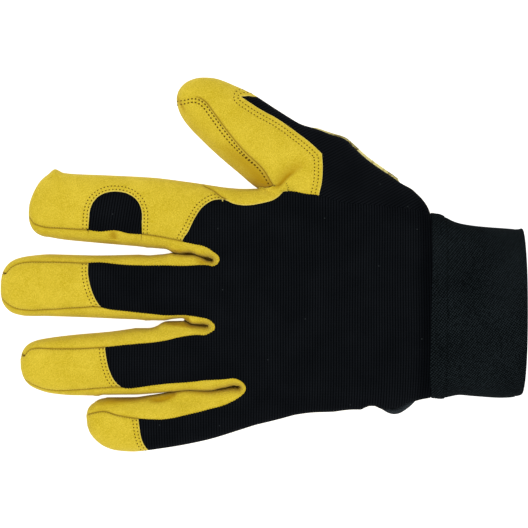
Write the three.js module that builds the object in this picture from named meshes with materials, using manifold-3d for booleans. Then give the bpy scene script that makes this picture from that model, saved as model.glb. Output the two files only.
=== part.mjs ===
// A left-hand rope access glove lying palm down: a gold leather palm, fingertip caps, finger
// gussets and thumb, a black ribbed knit back, and a black elastic cuff.
//
// The whole glove is first one hollow skin, made of tubes: the hand, four fingers and a thumb.
// Each panel is then the share of that skin inside its own pattern outline, drawn in plan,
// so neighbouring panels follow one form and stay one seam gap apart.
//
// Millimetres, +Z up. While it is built the wrist seam is at X = 0, the fingers point to -X
// and the thumb is on the +Y side. At the end the glove is centred over its own footprint.
import * as THREE from 'three';
import { mergeVertices } from 'three/addons/utils/BufferGeometryUtils.js';
import Module from 'manifold-3d';

const wasm = await Module();
wasm.setup();

// Driving sizes
const WALL = 1.5; // leather and knit
const SEAM_GAP = 0.3; // between the edges of neighbouring panels
const WIDEST_LEVEL = 6; // height at which every tube is widest
const PALM_RISE = 5; // how far the palm turns up before its side seam

const HAND_LENGTH = 99.8; // wrist seam to the line of the finger crotches
const HAND_HEIGHT = 25;
const WRIST_WIDTH = 85.1;
const WRIST_HEIGHT = 22.5;
const THENAR_BULGE = 29; // how far the base of the thumb stands out of the hand's side
const WAIST_DEPTH = 3.4; // how far the little finger's side of the hand draws in
const MIDDLE_OFFSET = 7.2; // from the wrist's middle to the middle finger's axis

// Fingers: from the root to the tip, across the back, and up to the top. A
// splay is in degrees from the wrist's line, towards the thumb
const INDEX_LENGTH = 85;
const INDEX_WIDTH = 31.7;
const INDEX_HEIGHT = 18;
const INDEX_SPLAY = 4.2;
const MIDDLE_LENGTH = 97.9;
const MIDDLE_WIDTH = 30.8;
const MIDDLE_HEIGHT = 18.5;
const MIDDLE_SPLAY = 1.6;
const RING_LENGTH = 88.8;
const RING_WIDTH = 27.6;
const RING_HEIGHT = 17.5;
const RING_SPLAY = -1.8;
const LITTLE_LENGTH = 70.8;
const LITTLE_WIDTH = 24.3;
const LITTLE_HEIGHT = 16.5;
const LITTLE_SPLAY = -5.3;

const CUFF_LENGTH = 42.2;
const CUFF_WIDTH = 77.3; // at the open end
const CUFF_HEIGHT = 22;
const CUFF_WALL = 1.8; // doubled elastic band
const CUFF_LEAN = 3.2; // how far the open end's middle lies to the little finger's side

const CROTCH_GAP = 1.2; // between two neighbouring fingers, where they touch
const CROTCH_LAP = 3.4; // how far a gusset turns round the end of that gap
const LITTLE_SETBACK = 12.4; // from the other crotches to the little finger's root

const THUMB_LENGTH = 109; // from its root inside the hand to its tip
const THUMB_WIDTH = 35.4;
const THUMB_HEIGHT = 20;
const THUMB_SPREAD = 30.3; // degrees from the fingers' direction
const THUMB_ROOT = 23; // from the wrist seam to the thumb's root
const THUMB_INSET = 1; // from the wrist's side in to the thumb's root

const BINDING_LENGTH = 16; // bound edge of the vent beside the wrist
const BINDING_WIDTH = 3;
const BINDING_HEIGHT = 5;
const BINDING_PLACE = 15.7; // from the wrist seam to its middle

const OVERRUN = 4; // how far a cut runs past the form that it only has to clear
const PRISM_HEIGHT = 2 * HAND_HEIGHT + 2 * OVERRUN;
const FAR = HAND_LENGTH + 2 * THUMB_LENGTH + CUFF_LENGTH; // beyond the glove on every side
// Limits how far a sharp corner of an outline runs out when the outline is moved outwards
const SHARPEST_CORNER = 0.15;
const NARROWEST = 0.8; // least width and height of the hollow inside a fingertip

const FINGER_POINTS = 16;
const HAND_POINTS = 26;

// Exponents of the rounded sections: 2 is an ellipse, more is squarer
const FINGER_SQUARENESS = 2.3;
const HAND_SQUARENESS = 2.5;
const SOLE_SQUARENESS = 2.6;
const SOLE_FLATTENING = 1.35; // the sole is cut flat where the section would reach lower

const COLOURS = { leather: 0xd9b52c, knit: 0x12141c, elastic: 0x1b211f };

/** Rows of numbers as objects with the named columns. */
const table = (columns, rows) =>
  rows.map((row) => Object.fromEntries(columns.map((name, i) => [name, row[i]])));

// Fingers, listed from the thumb's side. along is a share of the length, measured from the
// root, plus and minus are the two sides' shares of half the width, top and sole are shares of
// the height above and the depth below the widest level.
const SECTION = ['along', 'plus', 'minus', 'top', 'sole'];
const FINGERS = [
  {
    name: 'index',
    length: INDEX_LENGTH,
    width: INDEX_WIDTH,
    height: INDEX_HEIGHT,
    splay: INDEX_SPLAY,
    setback: 0,
    sections: table(SECTION, [
      [-0.22, 0.86, 0.9, 0.86, 1],
      [0, 0.97, 1.05, 0.98, 1],
      [0.15, 1.03, 1.02, 1, 1],
      [0.35, 1.08, 0.95, 0.98, 1],
      [0.6, 1.06, 0.93, 0.96, 1],
      [0.78, 1.06, 0.91, 0.93, 1],
      [0.85, 1.12, 0.885, 0.88, 1],
      [0.905, 1.02, 0.86, 0.8, 0.95],
      [0.945, 0.8, 0.79, 0.68, 0.85],
      [0.975, 0.52, 0.64, 0.52, 0.65],
      [0.993, 0.2, 0.42, 0.34, 0.4],
      [1, 0.02, 0.2, 0.15, 0.15],
    ]),
  },
  {
    name: 'middle',
    length: MIDDLE_LENGTH,
    width: MIDDLE_WIDTH,
    height: MIDDLE_HEIGHT,
    splay: MIDDLE_SPLAY,
    setback: 0,
    sections: table(SECTION, [
      [-0.2, 0.86, 0.92, 0.86, 1],
      [0, 0.95, 1.03, 0.98, 1],
      [0.13, 1.0, 0.92, 1, 1],
      [0.23, 1.04, 0.92, 0.99, 1],
      [0.36, 0.99, 0.95, 0.97, 1],
      [0.6, 0.93, 0.93, 0.95, 1],
      [0.76, 0.93, 0.925, 0.93, 1],
      [0.87, 0.86, 0.94, 0.86, 1],
      [0.93, 0.76, 0.88, 0.76, 0.92],
      [0.967, 0.6, 0.73, 0.62, 0.75],
      [0.99, 0.36, 0.5, 0.4, 0.5],
      [1, 0.1, 0.22, 0.15, 0.15],
    ]),
  },
  {
    name: 'ring',
    length: RING_LENGTH,
    width: RING_WIDTH,
    height: RING_HEIGHT,
    splay: RING_SPLAY,
    setback: 0,
    sections: table(SECTION, [
      [-0.25, 0.9, 0.95, 0.88, 1],
      [0, 1.03, 1.0, 1, 1],
      [0.15, 1.18, 1.05, 1, 1],
      [0.28, 1.17, 1.11, 1, 1],
      [0.4, 1.07, 1.14, 0.98, 1],
      [0.53, 0.98, 1.14, 0.97, 1],
      [0.72, 0.91, 1.11, 0.95, 1],
      [0.84, 0.84, 1.02, 0.9, 1],
      [0.91, 0.77, 0.88, 0.8, 0.93],
      [0.958, 0.64, 0.7, 0.65, 0.78],
      [0.986, 0.42, 0.44, 0.44, 0.5],
      [1, 0.15, 0.15, 0.15, 0.15],
    ]),
  },
  {
    name: 'little',
    length: LITTLE_LENGTH,
    width: LITTLE_WIDTH,
    height: LITTLE_HEIGHT,
    splay: LITTLE_SPLAY,
    setback: LITTLE_SETBACK,
    sections: table(SECTION, [
      [-0.3, 0.6, 0.3, 0.85, 1],
      [0, 0.76, 0.72, 0.98, 1],
      [0.26, 0.82, 1.02, 1, 1],
      [0.5, 0.85, 1.15, 1, 1],
      [0.68, 0.86, 1.19, 0.97, 1],
      [0.82, 0.88, 1.08, 0.92, 1],
      [0.9, 0.86, 0.88, 0.83, 0.93],
      [0.953, 0.76, 0.6, 0.68, 0.78],
      [0.985, 0.58, 0.32, 0.45, 0.5],
      [1, 0.34, 0.06, 0.15, 0.15],
    ]),
  },
];

const THUMB_SECTIONS = table(SECTION, [
  [0.06, 1.0, 0.92, 0.9, 1],
  [0.27, 1.2, 0.98, 1, 1],
  [0.41, 1.09, 1.0, 1, 1],
  [0.5, 1.0, 1.0, 1, 1],
  [0.61, 1.02, 0.9, 0.99, 1],
  [0.72, 1.05, 0.78, 0.97, 1],
  [0.81, 1.0, 0.65, 0.93, 1],
  [0.875, 0.94, 0.54, 0.86, 1],
  [0.93, 0.8, 0.4, 0.74, 0.92],
  [0.967, 0.63, 0.23, 0.58, 0.75],
  [0.991, 0.42, 0.04, 0.36, 0.45],
  [1, 0.26, -0.12, 0.15, 0.15],
]);

// The hand, from the wrist seam to the crotches. thenar and waist are shares of the bulge and of
// the waist's depth, height is how far the height has passed from the wrist's to the hand's.
const HAND_SECTIONS = table(['along', 'thenar', 'waist', 'height'], [
  [0, 0, 0, 0],
  [0.05, 0.18, -0.1, 0.25],
  [0.14, 0.45, -0.58, 0.55],
  [0.24, 0.68, 0.25, 0.85],
  [0.37, 0.97, 0.35, 1],
  [0.45, 0.86, 0.5, 1],
  [0.53, 0.6, 0.85, 0.92],
  [0.61, 0.32, 1, 0.75],
  [0.7, 0.12, 0.8, 0.5],
  [0.85, 0.02, 0.5, -0.3],
  [1, 0, 0, -1.7],
  [1.035, 0, 0, -3],
  [1.06, 0, 0, -5],
]);

// The cuff, from the wrist seam to its open end, as shares of the change between them
const CUFF_SECTIONS = table(['along', 'plus', 'minus', 'height'], [
  [0, 0, 0, 0],
  [0.14, 0.3, 0.25, 0.4],
  [0.32, 0.72, 1.1, 0.8],
  [0.6, 0.93, 0.8, 1],
  [1, 1, 1, 1],
]);

// Seams between the finger backs and the gussets: across is a share of half the finger's width
const SEAM = ['along', 'across'];
const BACK_SEAMS = {
  index: {
    minus: table(SEAM, [
      [0.16, -0.7],
      [0.37, -0.58],
      [0.5, -0.53],
      [0.84, -0.58],
      [0.935, -0.57],
      [0.975, -0.46],
      [0.992, -0.28],
    ]),
  },
  middle: {
    plus: table(SEAM, [
      [0.06, 0.72],
      [0.38, 0.65],
      [0.44, 0.69],
      [0.6, 0.715],
      [0.81, 0.705],
      [0.893, 0.66],
      [0.94, 0.52],
      [0.971, 0.28],
    ]),
    minus: table(SEAM, [
      [0.09, -0.75],
      [0.24, -0.765],
      [0.43, -0.645],
      [0.51, -0.585],
      [0.61, -0.635],
      [0.8, -0.745],
      [0.895, -0.73],
      [0.943, -0.61],
      [0.98, -0.44],
    ]),
  },
  ring: {
    plus: table(SEAM, [
      [0.06, 0.82],
      [0.137, 0.785],
      [0.32, 0.63],
      [0.42, 0.565],
      [0.55, 0.54],
      [0.9, 0.57],
      [0.945, 0.52],
      [0.97, 0.3],
    ]),
    minus: table(SEAM, [
      [-0.01, -0.65],
      [0.1, -0.73],
      [0.32, -0.78],
      [0.4, -0.85],
      [0.48, -0.83],
      [0.7, -0.88],
      [0.84, -0.87],
      [0.92, -0.73],
      [0.97, -0.54],
    ]),
  },
  little: {
    plus: table(SEAM, [
      [0.09, 0.325],
      [0.2, 0.2],
      [0.32, 0.1],
      [0.42, 0.02],
      [0.51, 0.015],
      [0.65, 0.12],
      [0.79, 0.32],
      [0.875, 0.5],
      [0.93, 0.48],
      [0.99, 0.4],
    ]),
  },
};

// Where each leather cap ends on the back of its finger
const CAP_EDGES = {
  middle: table(SEAM, [
    [0.58, 1],
    [0.58, 0.73],
    [0.568, 0.03],
    [0.552, -0.38],
    [0.529, -0.575],
    [0.5, -1],
  ]),
  ring: table(SEAM, [
    [0.547, 1],
    [0.546, 0.54],
    [0.538, 0.15],
    [0.506, -0.49],
    [0.484, -0.83],
    [0.475, -1],
  ]),
  little: table(SEAM, [
    [0.652, 0.6],
    [0.652, -0.1],
    [0.641, -0.78],
    [0.62, -1.1],
    [0.6, -1.5],
  ]),
};

// The index cap reaches back to the web and wraps the finger's outer side
const INDEX_CAP_EDGE = table(SEAM, [
  [0.14, -1.0],
  [0.156, -0.68],
  [0.112, -0.14],
  [0.084, 0.157],
  [0.05, 0.37],
  [0.004, 0.507],
  [-0.055, 0.57],
  [0.055, 0.935],
  [0.1, 1.5],
]);

// Knit window over the index knuckle, an arch standing on the gusset seam
const KNUCKLE_WINDOW = { along: 0.513, halfLength: 0.138, spring: -0.15, rise: 0.74, foot: -0.8 };

// Patterns on the thumb, along its axis and across it, as shares of its length and half width
const THUMB_BACK_OUTLINE = table(SEAM, [
  [1.08, 0],
  [0.98, 0],
  [0.932, 0.08],
  [0.897, 0.22],
  [0.864, 0.18],
  [0.831, 0.045],
  [0.75, -0.2],
  [0.648, -0.364],
  [0.527, -0.52],
  [0.452, -0.8],
  [0.396, -0.7],
  [0.317, -0.55],
  [0.26, -0.39],
  [0.277, -0.07],
  [0.306, 0.27],
  [0.341, 0.56],
  [0.449, 0.69],
  [0.54, 0.78],
  [0.65, 0.77],
  [0.75, 0.765],
  [0.729, 0.9],
  [0.699, 1.03],
  [0.69, 1.4],
  [1.08, 1.4],
]);
const SIDE_PANEL_OUTLINE = table(SEAM, [
  [0.75, 0.765],
  [0.729, 0.9],
  [0.699, 1.03],
  [0.69, 1.4],
  [0.2, 2],
  [-0.25, 1.5],
  [-0.25, 0.8],
  [-0.16, 0.66],
  [0.044, 0.12],
  [0.156, -0.22],
  [0.26, -0.39],
  [0.36, 0.3],
  [0.6, 0.6],
]);
const THUMB_FRONT_ZONE = table(SEAM, [
  [0.452, -0.8],
  [0.506, -1.0],
  [0.54, -1.03],
  [0.6, -1.11],
  [0.7, -1.25],
  [1.15, -1.6],
  [1.15, 1.6],
  [0.5, 1.6],
  [0.44, 0.4],
]);
// The web's side towards the thumb, from the foot of the thumb's seam out into the open crotch
const WEB_THUMB_SIDE = table(SEAM, [
  [0.396, -0.7],
  [0.452, -0.8],
  [0.506, -1.0],
  [0.54, -1.03],
  [0.6, -1.11],
]);
const WEB_INDEX_SIDE = table(SEAM, [
  [0.1, 1.5],
  [0.055, 0.935],
  [-0.055, 0.57],
]);
const WEB_SAG = 0.16; // of its length, towards the hand's middle

/** A closed geometry through rings of points that all turn the same way, with fan ends. */
function loft(rings) {
  const positions = [];
  const triangles = [];
  const size = rings[0].length;
  rings.flat().forEach((point) => positions.push(point.x, point.y, point.z));
  for (let k = 0; k + 1 < rings.length; k += 1) {
    for (let i = 0; i < size; i += 1) {
      const a = k * size + i;
      const b = k * size + ((i + 1) % size);
      triangles.push(a, a + size, b, b, a + size, b + size);
    }
  }
  [0, rings.length - 1].forEach((k) => {
    const middle = rings[k].reduce((sum, p) => sum.add(p), new THREE.Vector3());
    middle.divideScalar(size);
    const hub = positions.length / 3;
    positions.push(middle.x, middle.y, middle.z);
    for (let i = 0; i < size; i += 1) {
      const a = k * size + i;
      const b = k * size + ((i + 1) % size);
      triangles.push(...(k === 0 ? [hub, a, b] : [hub, b, a]));
    }
  });
  const geometry = new THREE.BufferGeometry();
  geometry.setAttribute('position', new THREE.Float32BufferAttribute(positions, 3));
  geometry.setIndex(triangles);
  return geometry;
}

/** The section of a tube: crowned above its widest level, flat where it lies on the ground. */
function ring({ centre, across, plus, minus, low, top, points, squareness }) {
  return Array.from({ length: points }, (_, i) => {
    const turn = (i / points) * 2 * Math.PI;
    const side = Math.cos(turn);
    const lift = Math.sin(turn);
    const half = (plus + minus) / 2;
    const offset = (plus - minus) / 2
      + half * Math.sign(side) * Math.abs(side) ** (2 / squareness);
    const drop = (WIDEST_LEVEL - low) * SOLE_FLATTENING;
    const height = lift > 0
      ? WIDEST_LEVEL + (top - WIDEST_LEVEL) * lift ** (2 / squareness)
      : Math.max(low, WIDEST_LEVEL - drop * Math.abs(lift) ** (2 / SOLE_SQUARENESS));
    return new THREE.Vector3(centre.x + across.x * offset, centre.y + across.y * offset, height);
  });
}

/** A three.js geometry as a manifold-3d solid. */
function solid(geometry) {
  const plain = new THREE.BufferGeometry();
  plain.setAttribute('position', geometry.getAttribute('position'));
  plain.setIndex(geometry.index);
  const merged = mergeVertices(plain, 1e-4);
  return new wasm.Manifold(new wasm.Mesh({
    numProp: 3,
    vertProperties: merged.attributes.position.array,
    triVerts: new Uint32Array(merged.index.array),
  }));
}

/** A manifold-3d solid as a three.js geometry. */
function geometryOf(made) {
  const mesh = made.getMesh();
  const geometry = new THREE.BufferGeometry();
  geometry.setAttribute('position', new THREE.BufferAttribute(mesh.vertProperties, 3));
  geometry.setIndex(new THREE.BufferAttribute(mesh.triVerts, 1));
  geometry.computeVertexNormals();
  return geometry;
}

const union = (solids) => solids.reduce((sum, made) => sum.add(made));
const without = (made, cutters) => cutters.reduce((rest, cutter) => rest.subtract(cutter), made);

/** An outline in plan moved outwards by a distance, edge by edge, with its corners kept. */
function grown(outline, distance) {
  const turn = THREE.ShapeUtils.isClockWise(outline) ? -1 : 1;
  const outwards = (from, to) => {
    const along = to.clone().sub(from).normalize();
    return new THREE.Vector2(along.y, -along.x).multiplyScalar(turn);
  };
  return outline.map((point, i) => {
    const before = outwards(outline[(i + outline.length - 1) % outline.length], point);
    const after = outwards(point, outline[(i + 1) % outline.length]);
    const spread = Math.max(1 + before.dot(after), SHARPEST_CORNER);
    return before.add(after).multiplyScalar(distance / spread).add(point);
  });
}

/** The upright prism over an outline in plan. */
function prism(outline, bottom = -OVERRUN) {
  const geometry = new THREE.ExtrudeGeometry(new THREE.Shape(outline), {
    depth: PRISM_HEIGHT,
    bevelEnabled: false,
    steps: 1,
  });
  return solid(geometry.translate(0, 0, bottom));
}

/** The value of a table's column at a place along it. */
function valueAt(rows, along, column) {
  const next = rows.findIndex((row) => row.along >= along);
  if (next === 0) return rows[0][column];
  if (next < 0) return rows[rows.length - 1][column];
  const [before, after] = [rows[next - 1], rows[next]];
  const share = (along - before.along) / (after.along - before.along);
  return before[column] + (after[column] - before[column]) * share;
}

// Each digit gets its axis in plan: root, direction to the tip and direction to its plus side
const toRadians = THREE.MathUtils.degToRad;
function digit(made, root, angle) {
  const direction = new THREE.Vector2(-Math.cos(angle), Math.sin(angle));
  const across = new THREE.Vector2(direction.y, -direction.x);
  return { ...made, root, direction, across };
}

const halfAtRoot = (finger, side) => (finger.width / 2) * valueAt(finger.sections, 0, side);
const byName = Object.fromEntries(FINGERS.map((finger) => [finger.name, finger]));
const crotchStep = (upper, lower) =>
  halfAtRoot(byName[upper], 'minus') + CROTCH_GAP + halfAtRoot(byName[lower], 'plus');
const axisOffsets = {
  index: MIDDLE_OFFSET + crotchStep('index', 'middle'),
  middle: MIDDLE_OFFSET,
  ring: MIDDLE_OFFSET - crotchStep('middle', 'ring'),
  little: MIDDLE_OFFSET - crotchStep('middle', 'ring') - crotchStep('ring', 'little'),
};
const fingers = FINGERS.map((finger) =>
  digit(
    finger,
    new THREE.Vector2(finger.setback - HAND_LENGTH, axisOffsets[finger.name]),
    toRadians(finger.splay),
  ));
const [index, middle, ring_, little] = fingers;
const thumb = digit(
  { name: 'thumb', length: THUMB_LENGTH, width: THUMB_WIDTH, height: THUMB_HEIGHT,
    sections: THUMB_SECTIONS },
  new THREE.Vector2(-THUMB_ROOT, WRIST_WIDTH / 2 - THUMB_INSET),
  toRadians(THUMB_SPREAD),
);

/** A point in plan given as shares of a digit's length and half width. */
function onDigit(made, along, across) {
  return made.root
    .clone()
    .addScaledVector(made.direction, along * made.length)
    .addScaledVector(made.across, (across * made.width) / 2);
}
/** The point on a finger's side at a distance past the line of the crotches. */
function edgePoint(made, side, reach) {
  const along = (reach + made.setback) / made.length;
  const share = valueAt(made.sections, along, side);
  return onDigit(made, along, side === 'plus' ? share : -share);
}
const outlineOn = (made, rows) => rows.map((row) => onDigit(made, row.along, row.across));

/** Reaches to both sides of an axis, drawn in by an inset but never past each other. */
function drawnIn(plus, minus, inset) {
  const half = Math.max((plus + minus) / 2 - inset, NARROWEST / 2);
  const middleOfBoth = (plus - minus) / 2;
  return { plus: middleOfBoth + half, minus: half - middleOfBoth };
}

/** A digit's tube, drawn in from its outer surface by an inset. */
function digitTube(made, inset) {
  const half = made.width / 2;
  const rise = made.height - WIDEST_LEVEL;
  return solid(loft(made.sections.map((row) => ring({
    centre: made.root
      .clone()
      .addScaledVector(made.direction, row.along * (made.length - inset)),
    across: made.across,
    ...drawnIn(half * row.plus, half * row.minus, inset),
    low: Math.min(WIDEST_LEVEL * (1 - row.sole) + inset, WIDEST_LEVEL - NARROWEST / 2),
    top: WIDEST_LEVEL + Math.max(rise * row.top - inset, NARROWEST / 2),
    points: FINGER_POINTS,
    squareness: FINGER_SQUARENESS,
  }))));
}

// The hand's two sides where the fingers start
const knucklePlus = edgePoint(index, 'plus', 0).y;
const knuckleMinus = -edgePoint(little, 'minus', 0).y;
const LERP = THREE.MathUtils.lerp;

/** The hand's tube, open towards the wrist once an inner one that overruns it is cut out. */
function handTube(inset) {
  const rings = HAND_SECTIONS.map((row) => ring({
    centre: new THREE.Vector2(-row.along * (HAND_LENGTH - inset), 0),
    across: new THREE.Vector2(0, 1),
    plus: LERP(WRIST_WIDTH / 2, knucklePlus, row.along) + THENAR_BULGE * row.thenar - inset,
    minus: LERP(WRIST_WIDTH / 2, knuckleMinus, row.along) - WAIST_DEPTH * row.waist - inset,
    low: inset,
    top: LERP(WRIST_HEIGHT, HAND_HEIGHT, row.height) - inset,
    points: HAND_POINTS,
    squareness: HAND_SQUARENESS,
  }));
  if (inset > 0) {
    rings.unshift(rings[0].map((point) => point.clone().setX(OVERRUN)));
  }
  return solid(loft(rings));
}

// Slots between neighbouring fingers. behind is how far the slot's round end lies past the line
// of the crotches, towards the wrist, as a share of the hand's length
const CROTCHES = [
  { name: 'index_middle', upper: index, lower: middle, behind: 0 },
  { name: 'middle_ring', upper: middle, lower: ring_, behind: -0.027 },
  { name: 'ring_little', upper: ring_, lower: little, behind: 0.115 },
];
const SLOT_STATIONS = [0.14, 0.28, 0.47, 0.85]; // shares of the shorter finger's free length
/** The middle of a slot, from its end at the crotch out between the fingers. */
function slotLine({ upper, lower, behind }) {
  const free = Math.min(upper.length - upper.setback, lower.length - lower.setback);
  return [-behind * HAND_LENGTH, ...SLOT_STATIONS.map((share) => share * free)].map((reach) =>
    edgePoint(upper, 'minus', reach).lerp(edgePoint(lower, 'plus', reach), 0.5));
}
/** The outline at a half width around a line, with a round end at its first point. */
function ribbon(line, half) {
  const side = (i, sign) => {
    const before = line[Math.max(i - 1, 0)];
    const after = line[Math.min(i + 1, line.length - 1)];
    const along = after.clone().sub(before).normalize();
    return new THREE.Vector2(-along.y, along.x).multiplyScalar(sign * half).add(line[i]);
  };
  const start = line[1].clone().sub(line[0]).angle();
  const turns = [0.25, 0.5, 0.75];
  const end = turns.map((turn) => {
    const angle = start + Math.PI * (0.5 + turn);
    return new THREE.Vector2(Math.cos(angle), Math.sin(angle)).multiplyScalar(half).add(line[0]);
  });
  return [
    ...line.map((_, i) => side(i, -1)),
    ...line.map((_, i) => side(i, 1)).reverse(),
    ...end,
  ];
}

const form = (inset) => without(
  union([handTube(inset), ...fingers.map((made) => digitTube(made, inset)),
    digitTube(thumb, inset)]),
  CROTCHES.map((crotch) => prism(ribbon(slotLine(crotch), CROTCH_GAP / 2 + inset))),
);
const skin = form(0).subtract(form(WALL));

// Two halves of the skin, one seam gap apart: the palm's and everything above it
const slab = (bottom) => prism([
  new THREE.Vector2(-FAR, -FAR),
  new THREE.Vector2(FAR, -FAR),
  new THREE.Vector2(FAR, FAR),
  new THREE.Vector2(-FAR, FAR),
], bottom);
const upper = skin.intersect(slab(PALM_RISE + SEAM_GAP));
const lower = skin.subtract(slab(PALM_RISE));

// Gussets: from one fingertip along its back seam, round the crotch, to the next fingertip
function gussetOutline(crotch) {
  const first = outlineOn(crotch.upper, BACK_SEAMS[crotch.upper.name].minus);
  const last = outlineOn(crotch.lower, BACK_SEAMS[crotch.lower.name].plus);
  const [end, beyond] = slotLine(crotch);
  const towardsWrist = end.clone().sub(beyond).angle();
  const turns = [0.5, 0.25, 0, -0.25, -0.5];
  const round = turns.map((turn) => {
    const angle = towardsWrist + Math.PI * turn;
    return new THREE.Vector2(Math.cos(angle), Math.sin(angle))
      .multiplyScalar(CROTCH_LAP)
      .add(end);
  });
  const pastTip = (made, rows) => {
    const tip = rows[rows.length - 1];
    return onDigit(made, 1 + OVERRUN / made.length, tip.across);
  };
  return [
    pastTip(crotch.upper, BACK_SEAMS[crotch.upper.name].minus),
    ...first.reverse(),
    ...round,
    ...last,
    pastTip(crotch.lower, BACK_SEAMS[crotch.lower.name].plus),
  ];
}
const gussets = CROTCHES.map((crotch) => ({
  name: `${crotch.name}_gusset`,
  outline: gussetOutline(crotch),
}));

// Caps: past the tip on one side, past the cut edge on the other
function capOutline(made, edge) {
  const first = edge[0].across;
  const last = edge[edge.length - 1].across;
  const past = 1 + OVERRUN / made.length;
  return [
    ...outlineOn(made, edge),
    onDigit(made, past, last),
    onDigit(made, past, first),
  ];
}
const caps = [
  { name: 'index_cap', outline: capOutline(index, INDEX_CAP_EDGE) },
  { name: 'middle_cap', outline: capOutline(middle, CAP_EDGES.middle) },
  { name: 'ring_cap', outline: capOutline(ring_, CAP_EDGES.ring) },
  { name: 'little_cap', outline: capOutline(little, CAP_EDGES.little) },
];

const windowOutline = (() => {
  const { along, halfLength, spring, rise, foot } = KNUCKLE_WINDOW;
  const steps = 10;
  const arch = Array.from({ length: steps + 1 }, (_, i) => {
    const turn = (i / steps) * Math.PI;
    const side = Math.sign(Math.cos(turn)) * Math.abs(Math.cos(turn)) ** 0.9;
    return onDigit(index, along + halfLength * side, spring + rise * Math.sin(turn) ** 0.9);
  });
  return [
    onDigit(index, along + halfLength, foot),
    ...arch,
    onDigit(index, along - halfLength, foot),
  ];
})();

// The web between the index cap's corner and the foot of the thumb's seam
const webOutline = (() => {
  const indexSide = outlineOn(index, WEB_INDEX_SIDE);
  const thumbSide = outlineOn(thumb, WEB_THUMB_SIDE);
  const corner = indexSide.pop();
  const chord = thumbSide[0].clone().sub(corner);
  const inwards = new THREE.Vector2(chord.y, -chord.x);
  const sag = corner.clone().lerp(thumbSide[0], 0.5).addScaledVector(inwards, 2 * WEB_SAG);
  const curve = new THREE.QuadraticBezierCurve(corner, sag, thumbSide[0]);
  return [...indexSide, ...curve.getPoints(6), ...thumbSide.slice(1)];
})();
const thumbBackOutline = outlineOn(thumb, THUMB_BACK_OUTLINE);
const sidePanelOutline = outlineOn(thumb, SIDE_PANEL_OUTLINE);
const thumbZone = outlineOn(thumb, THUMB_FRONT_ZONE);

// Panels
const cut = (outline, bottom) => prism(grown(outline, SEAM_GAP), bottom);
const gussetCuts = gussets.map(({ outline }) => cut(outline));
const windowCut = cut(windowOutline);
const capCuts = caps.map(({ outline }) => cut(outline));
const indexCapCut = capCuts[0];
const webCut = cut(webOutline);
const thumbBackCut = cut(thumbBackOutline);
const sidePanelCut = cut(sidePanelOutline);
const zoneCut = cut(thumbZone);

const panels = {};
gussets.forEach(({ name, outline }) => {
  panels[name] = { made: upper.intersect(prism(outline)), finish: 'leather' };
});
caps.forEach(({ name, outline }) => {
  const made = without(upper.intersect(prism(outline)), [...gussetCuts, windowCut]);
  panels[name] = { made, finish: 'leather' };
});
panels.index_knuckle_panel = {
  made: without(upper.intersect(prism(windowOutline)), gussetCuts),
  finish: 'knit',
};
panels.thumb_web = {
  made: without(upper.intersect(prism(webOutline)), [indexCapCut, thumbBackCut]),
  finish: 'leather',
};
panels.thumb_back = { made: upper.intersect(prism(thumbBackOutline)), finish: 'leather' };
panels.thumb_side_panel = {
  made: without(upper.intersect(prism(sidePanelOutline)), [thumbBackCut]),
  finish: 'knit',
};
panels.thumb_front = {
  made: without(skin.intersect(prism(thumbZone)), [
    cut(thumbBackOutline, PALM_RISE),
    cut(sidePanelOutline, PALM_RISE),
    cut(webOutline, PALM_RISE),
  ]),
  finish: 'leather',
};
panels.back_panel = {
  made: without(upper, [...gussetCuts, ...capCuts, webCut, thumbBackCut, sidePanelCut, zoneCut]),
  finish: 'knit',
};
panels.palm_panel = { made: lower.subtract(zoneCut), finish: 'leather' };

/** The cuff's tube from its open end to the wrist seam. */
function cuffTube(inset) {
  const gap = SEAM_GAP;
  const rings = CUFF_SECTIONS.map((row) => ring({
    centre: new THREE.Vector2(gap + row.along * (CUFF_LENGTH - gap), 0),
    across: new THREE.Vector2(0, 1),
    plus: LERP(WRIST_WIDTH / 2, CUFF_WIDTH / 2 - CUFF_LEAN, row.plus) - inset,
    minus: LERP(WRIST_WIDTH / 2, CUFF_WIDTH / 2 + CUFF_LEAN, row.minus) - inset,
    low: inset,
    top: LERP(WRIST_HEIGHT, CUFF_HEIGHT, row.height) - inset,
    points: HAND_POINTS,
    squareness: HAND_SQUARENESS,
  })).reverse();
  if (inset > 0) {
    rings.unshift(rings[0].map((point) => point.clone().setX(CUFF_LENGTH + OVERRUN)));
    rings.push(rings[rings.length - 1].map((point) => point.clone().setX(-OVERRUN)));
  }
  return solid(loft(rings));
}
panels.wrist_cuff = { made: cuffTube(0).subtract(cuffTube(CUFF_WALL)), finish: 'elastic' };

/** The bound edge that shows beside the wrist, a crescent of tape against the hand's side. */
const vent = (() => {
  const along = BINDING_PLACE / HAND_LENGTH;
  const side = -LERP(WRIST_WIDTH / 2, knuckleMinus, along)
    + WAIST_DEPTH * valueAt(HAND_SECTIONS, along, 'waist');
  const half = BINDING_LENGTH / 2;
  const curve = new THREE.QuadraticBezierCurve(
    new THREE.Vector2(-BINDING_PLACE - half, side + BINDING_WIDTH),
    new THREE.Vector2(-BINDING_PLACE, side - 3 * BINDING_WIDTH),
    new THREE.Vector2(-BINDING_PLACE + half, side + BINDING_WIDTH),
  );
  const geometry = new THREE.ExtrudeGeometry(new THREE.Shape(curve.getPoints(10)), {
    depth: BINDING_HEIGHT,
    bevelEnabled: false,
    steps: 1,
  });
  return solid(geometry.translate(0, 0, WIDEST_LEVEL - BINDING_HEIGHT / 2));
})();
panels.vent_binding = {
  made: vent.subtract(form(-SEAM_GAP)),
  finish: 'elastic',
};

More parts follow.
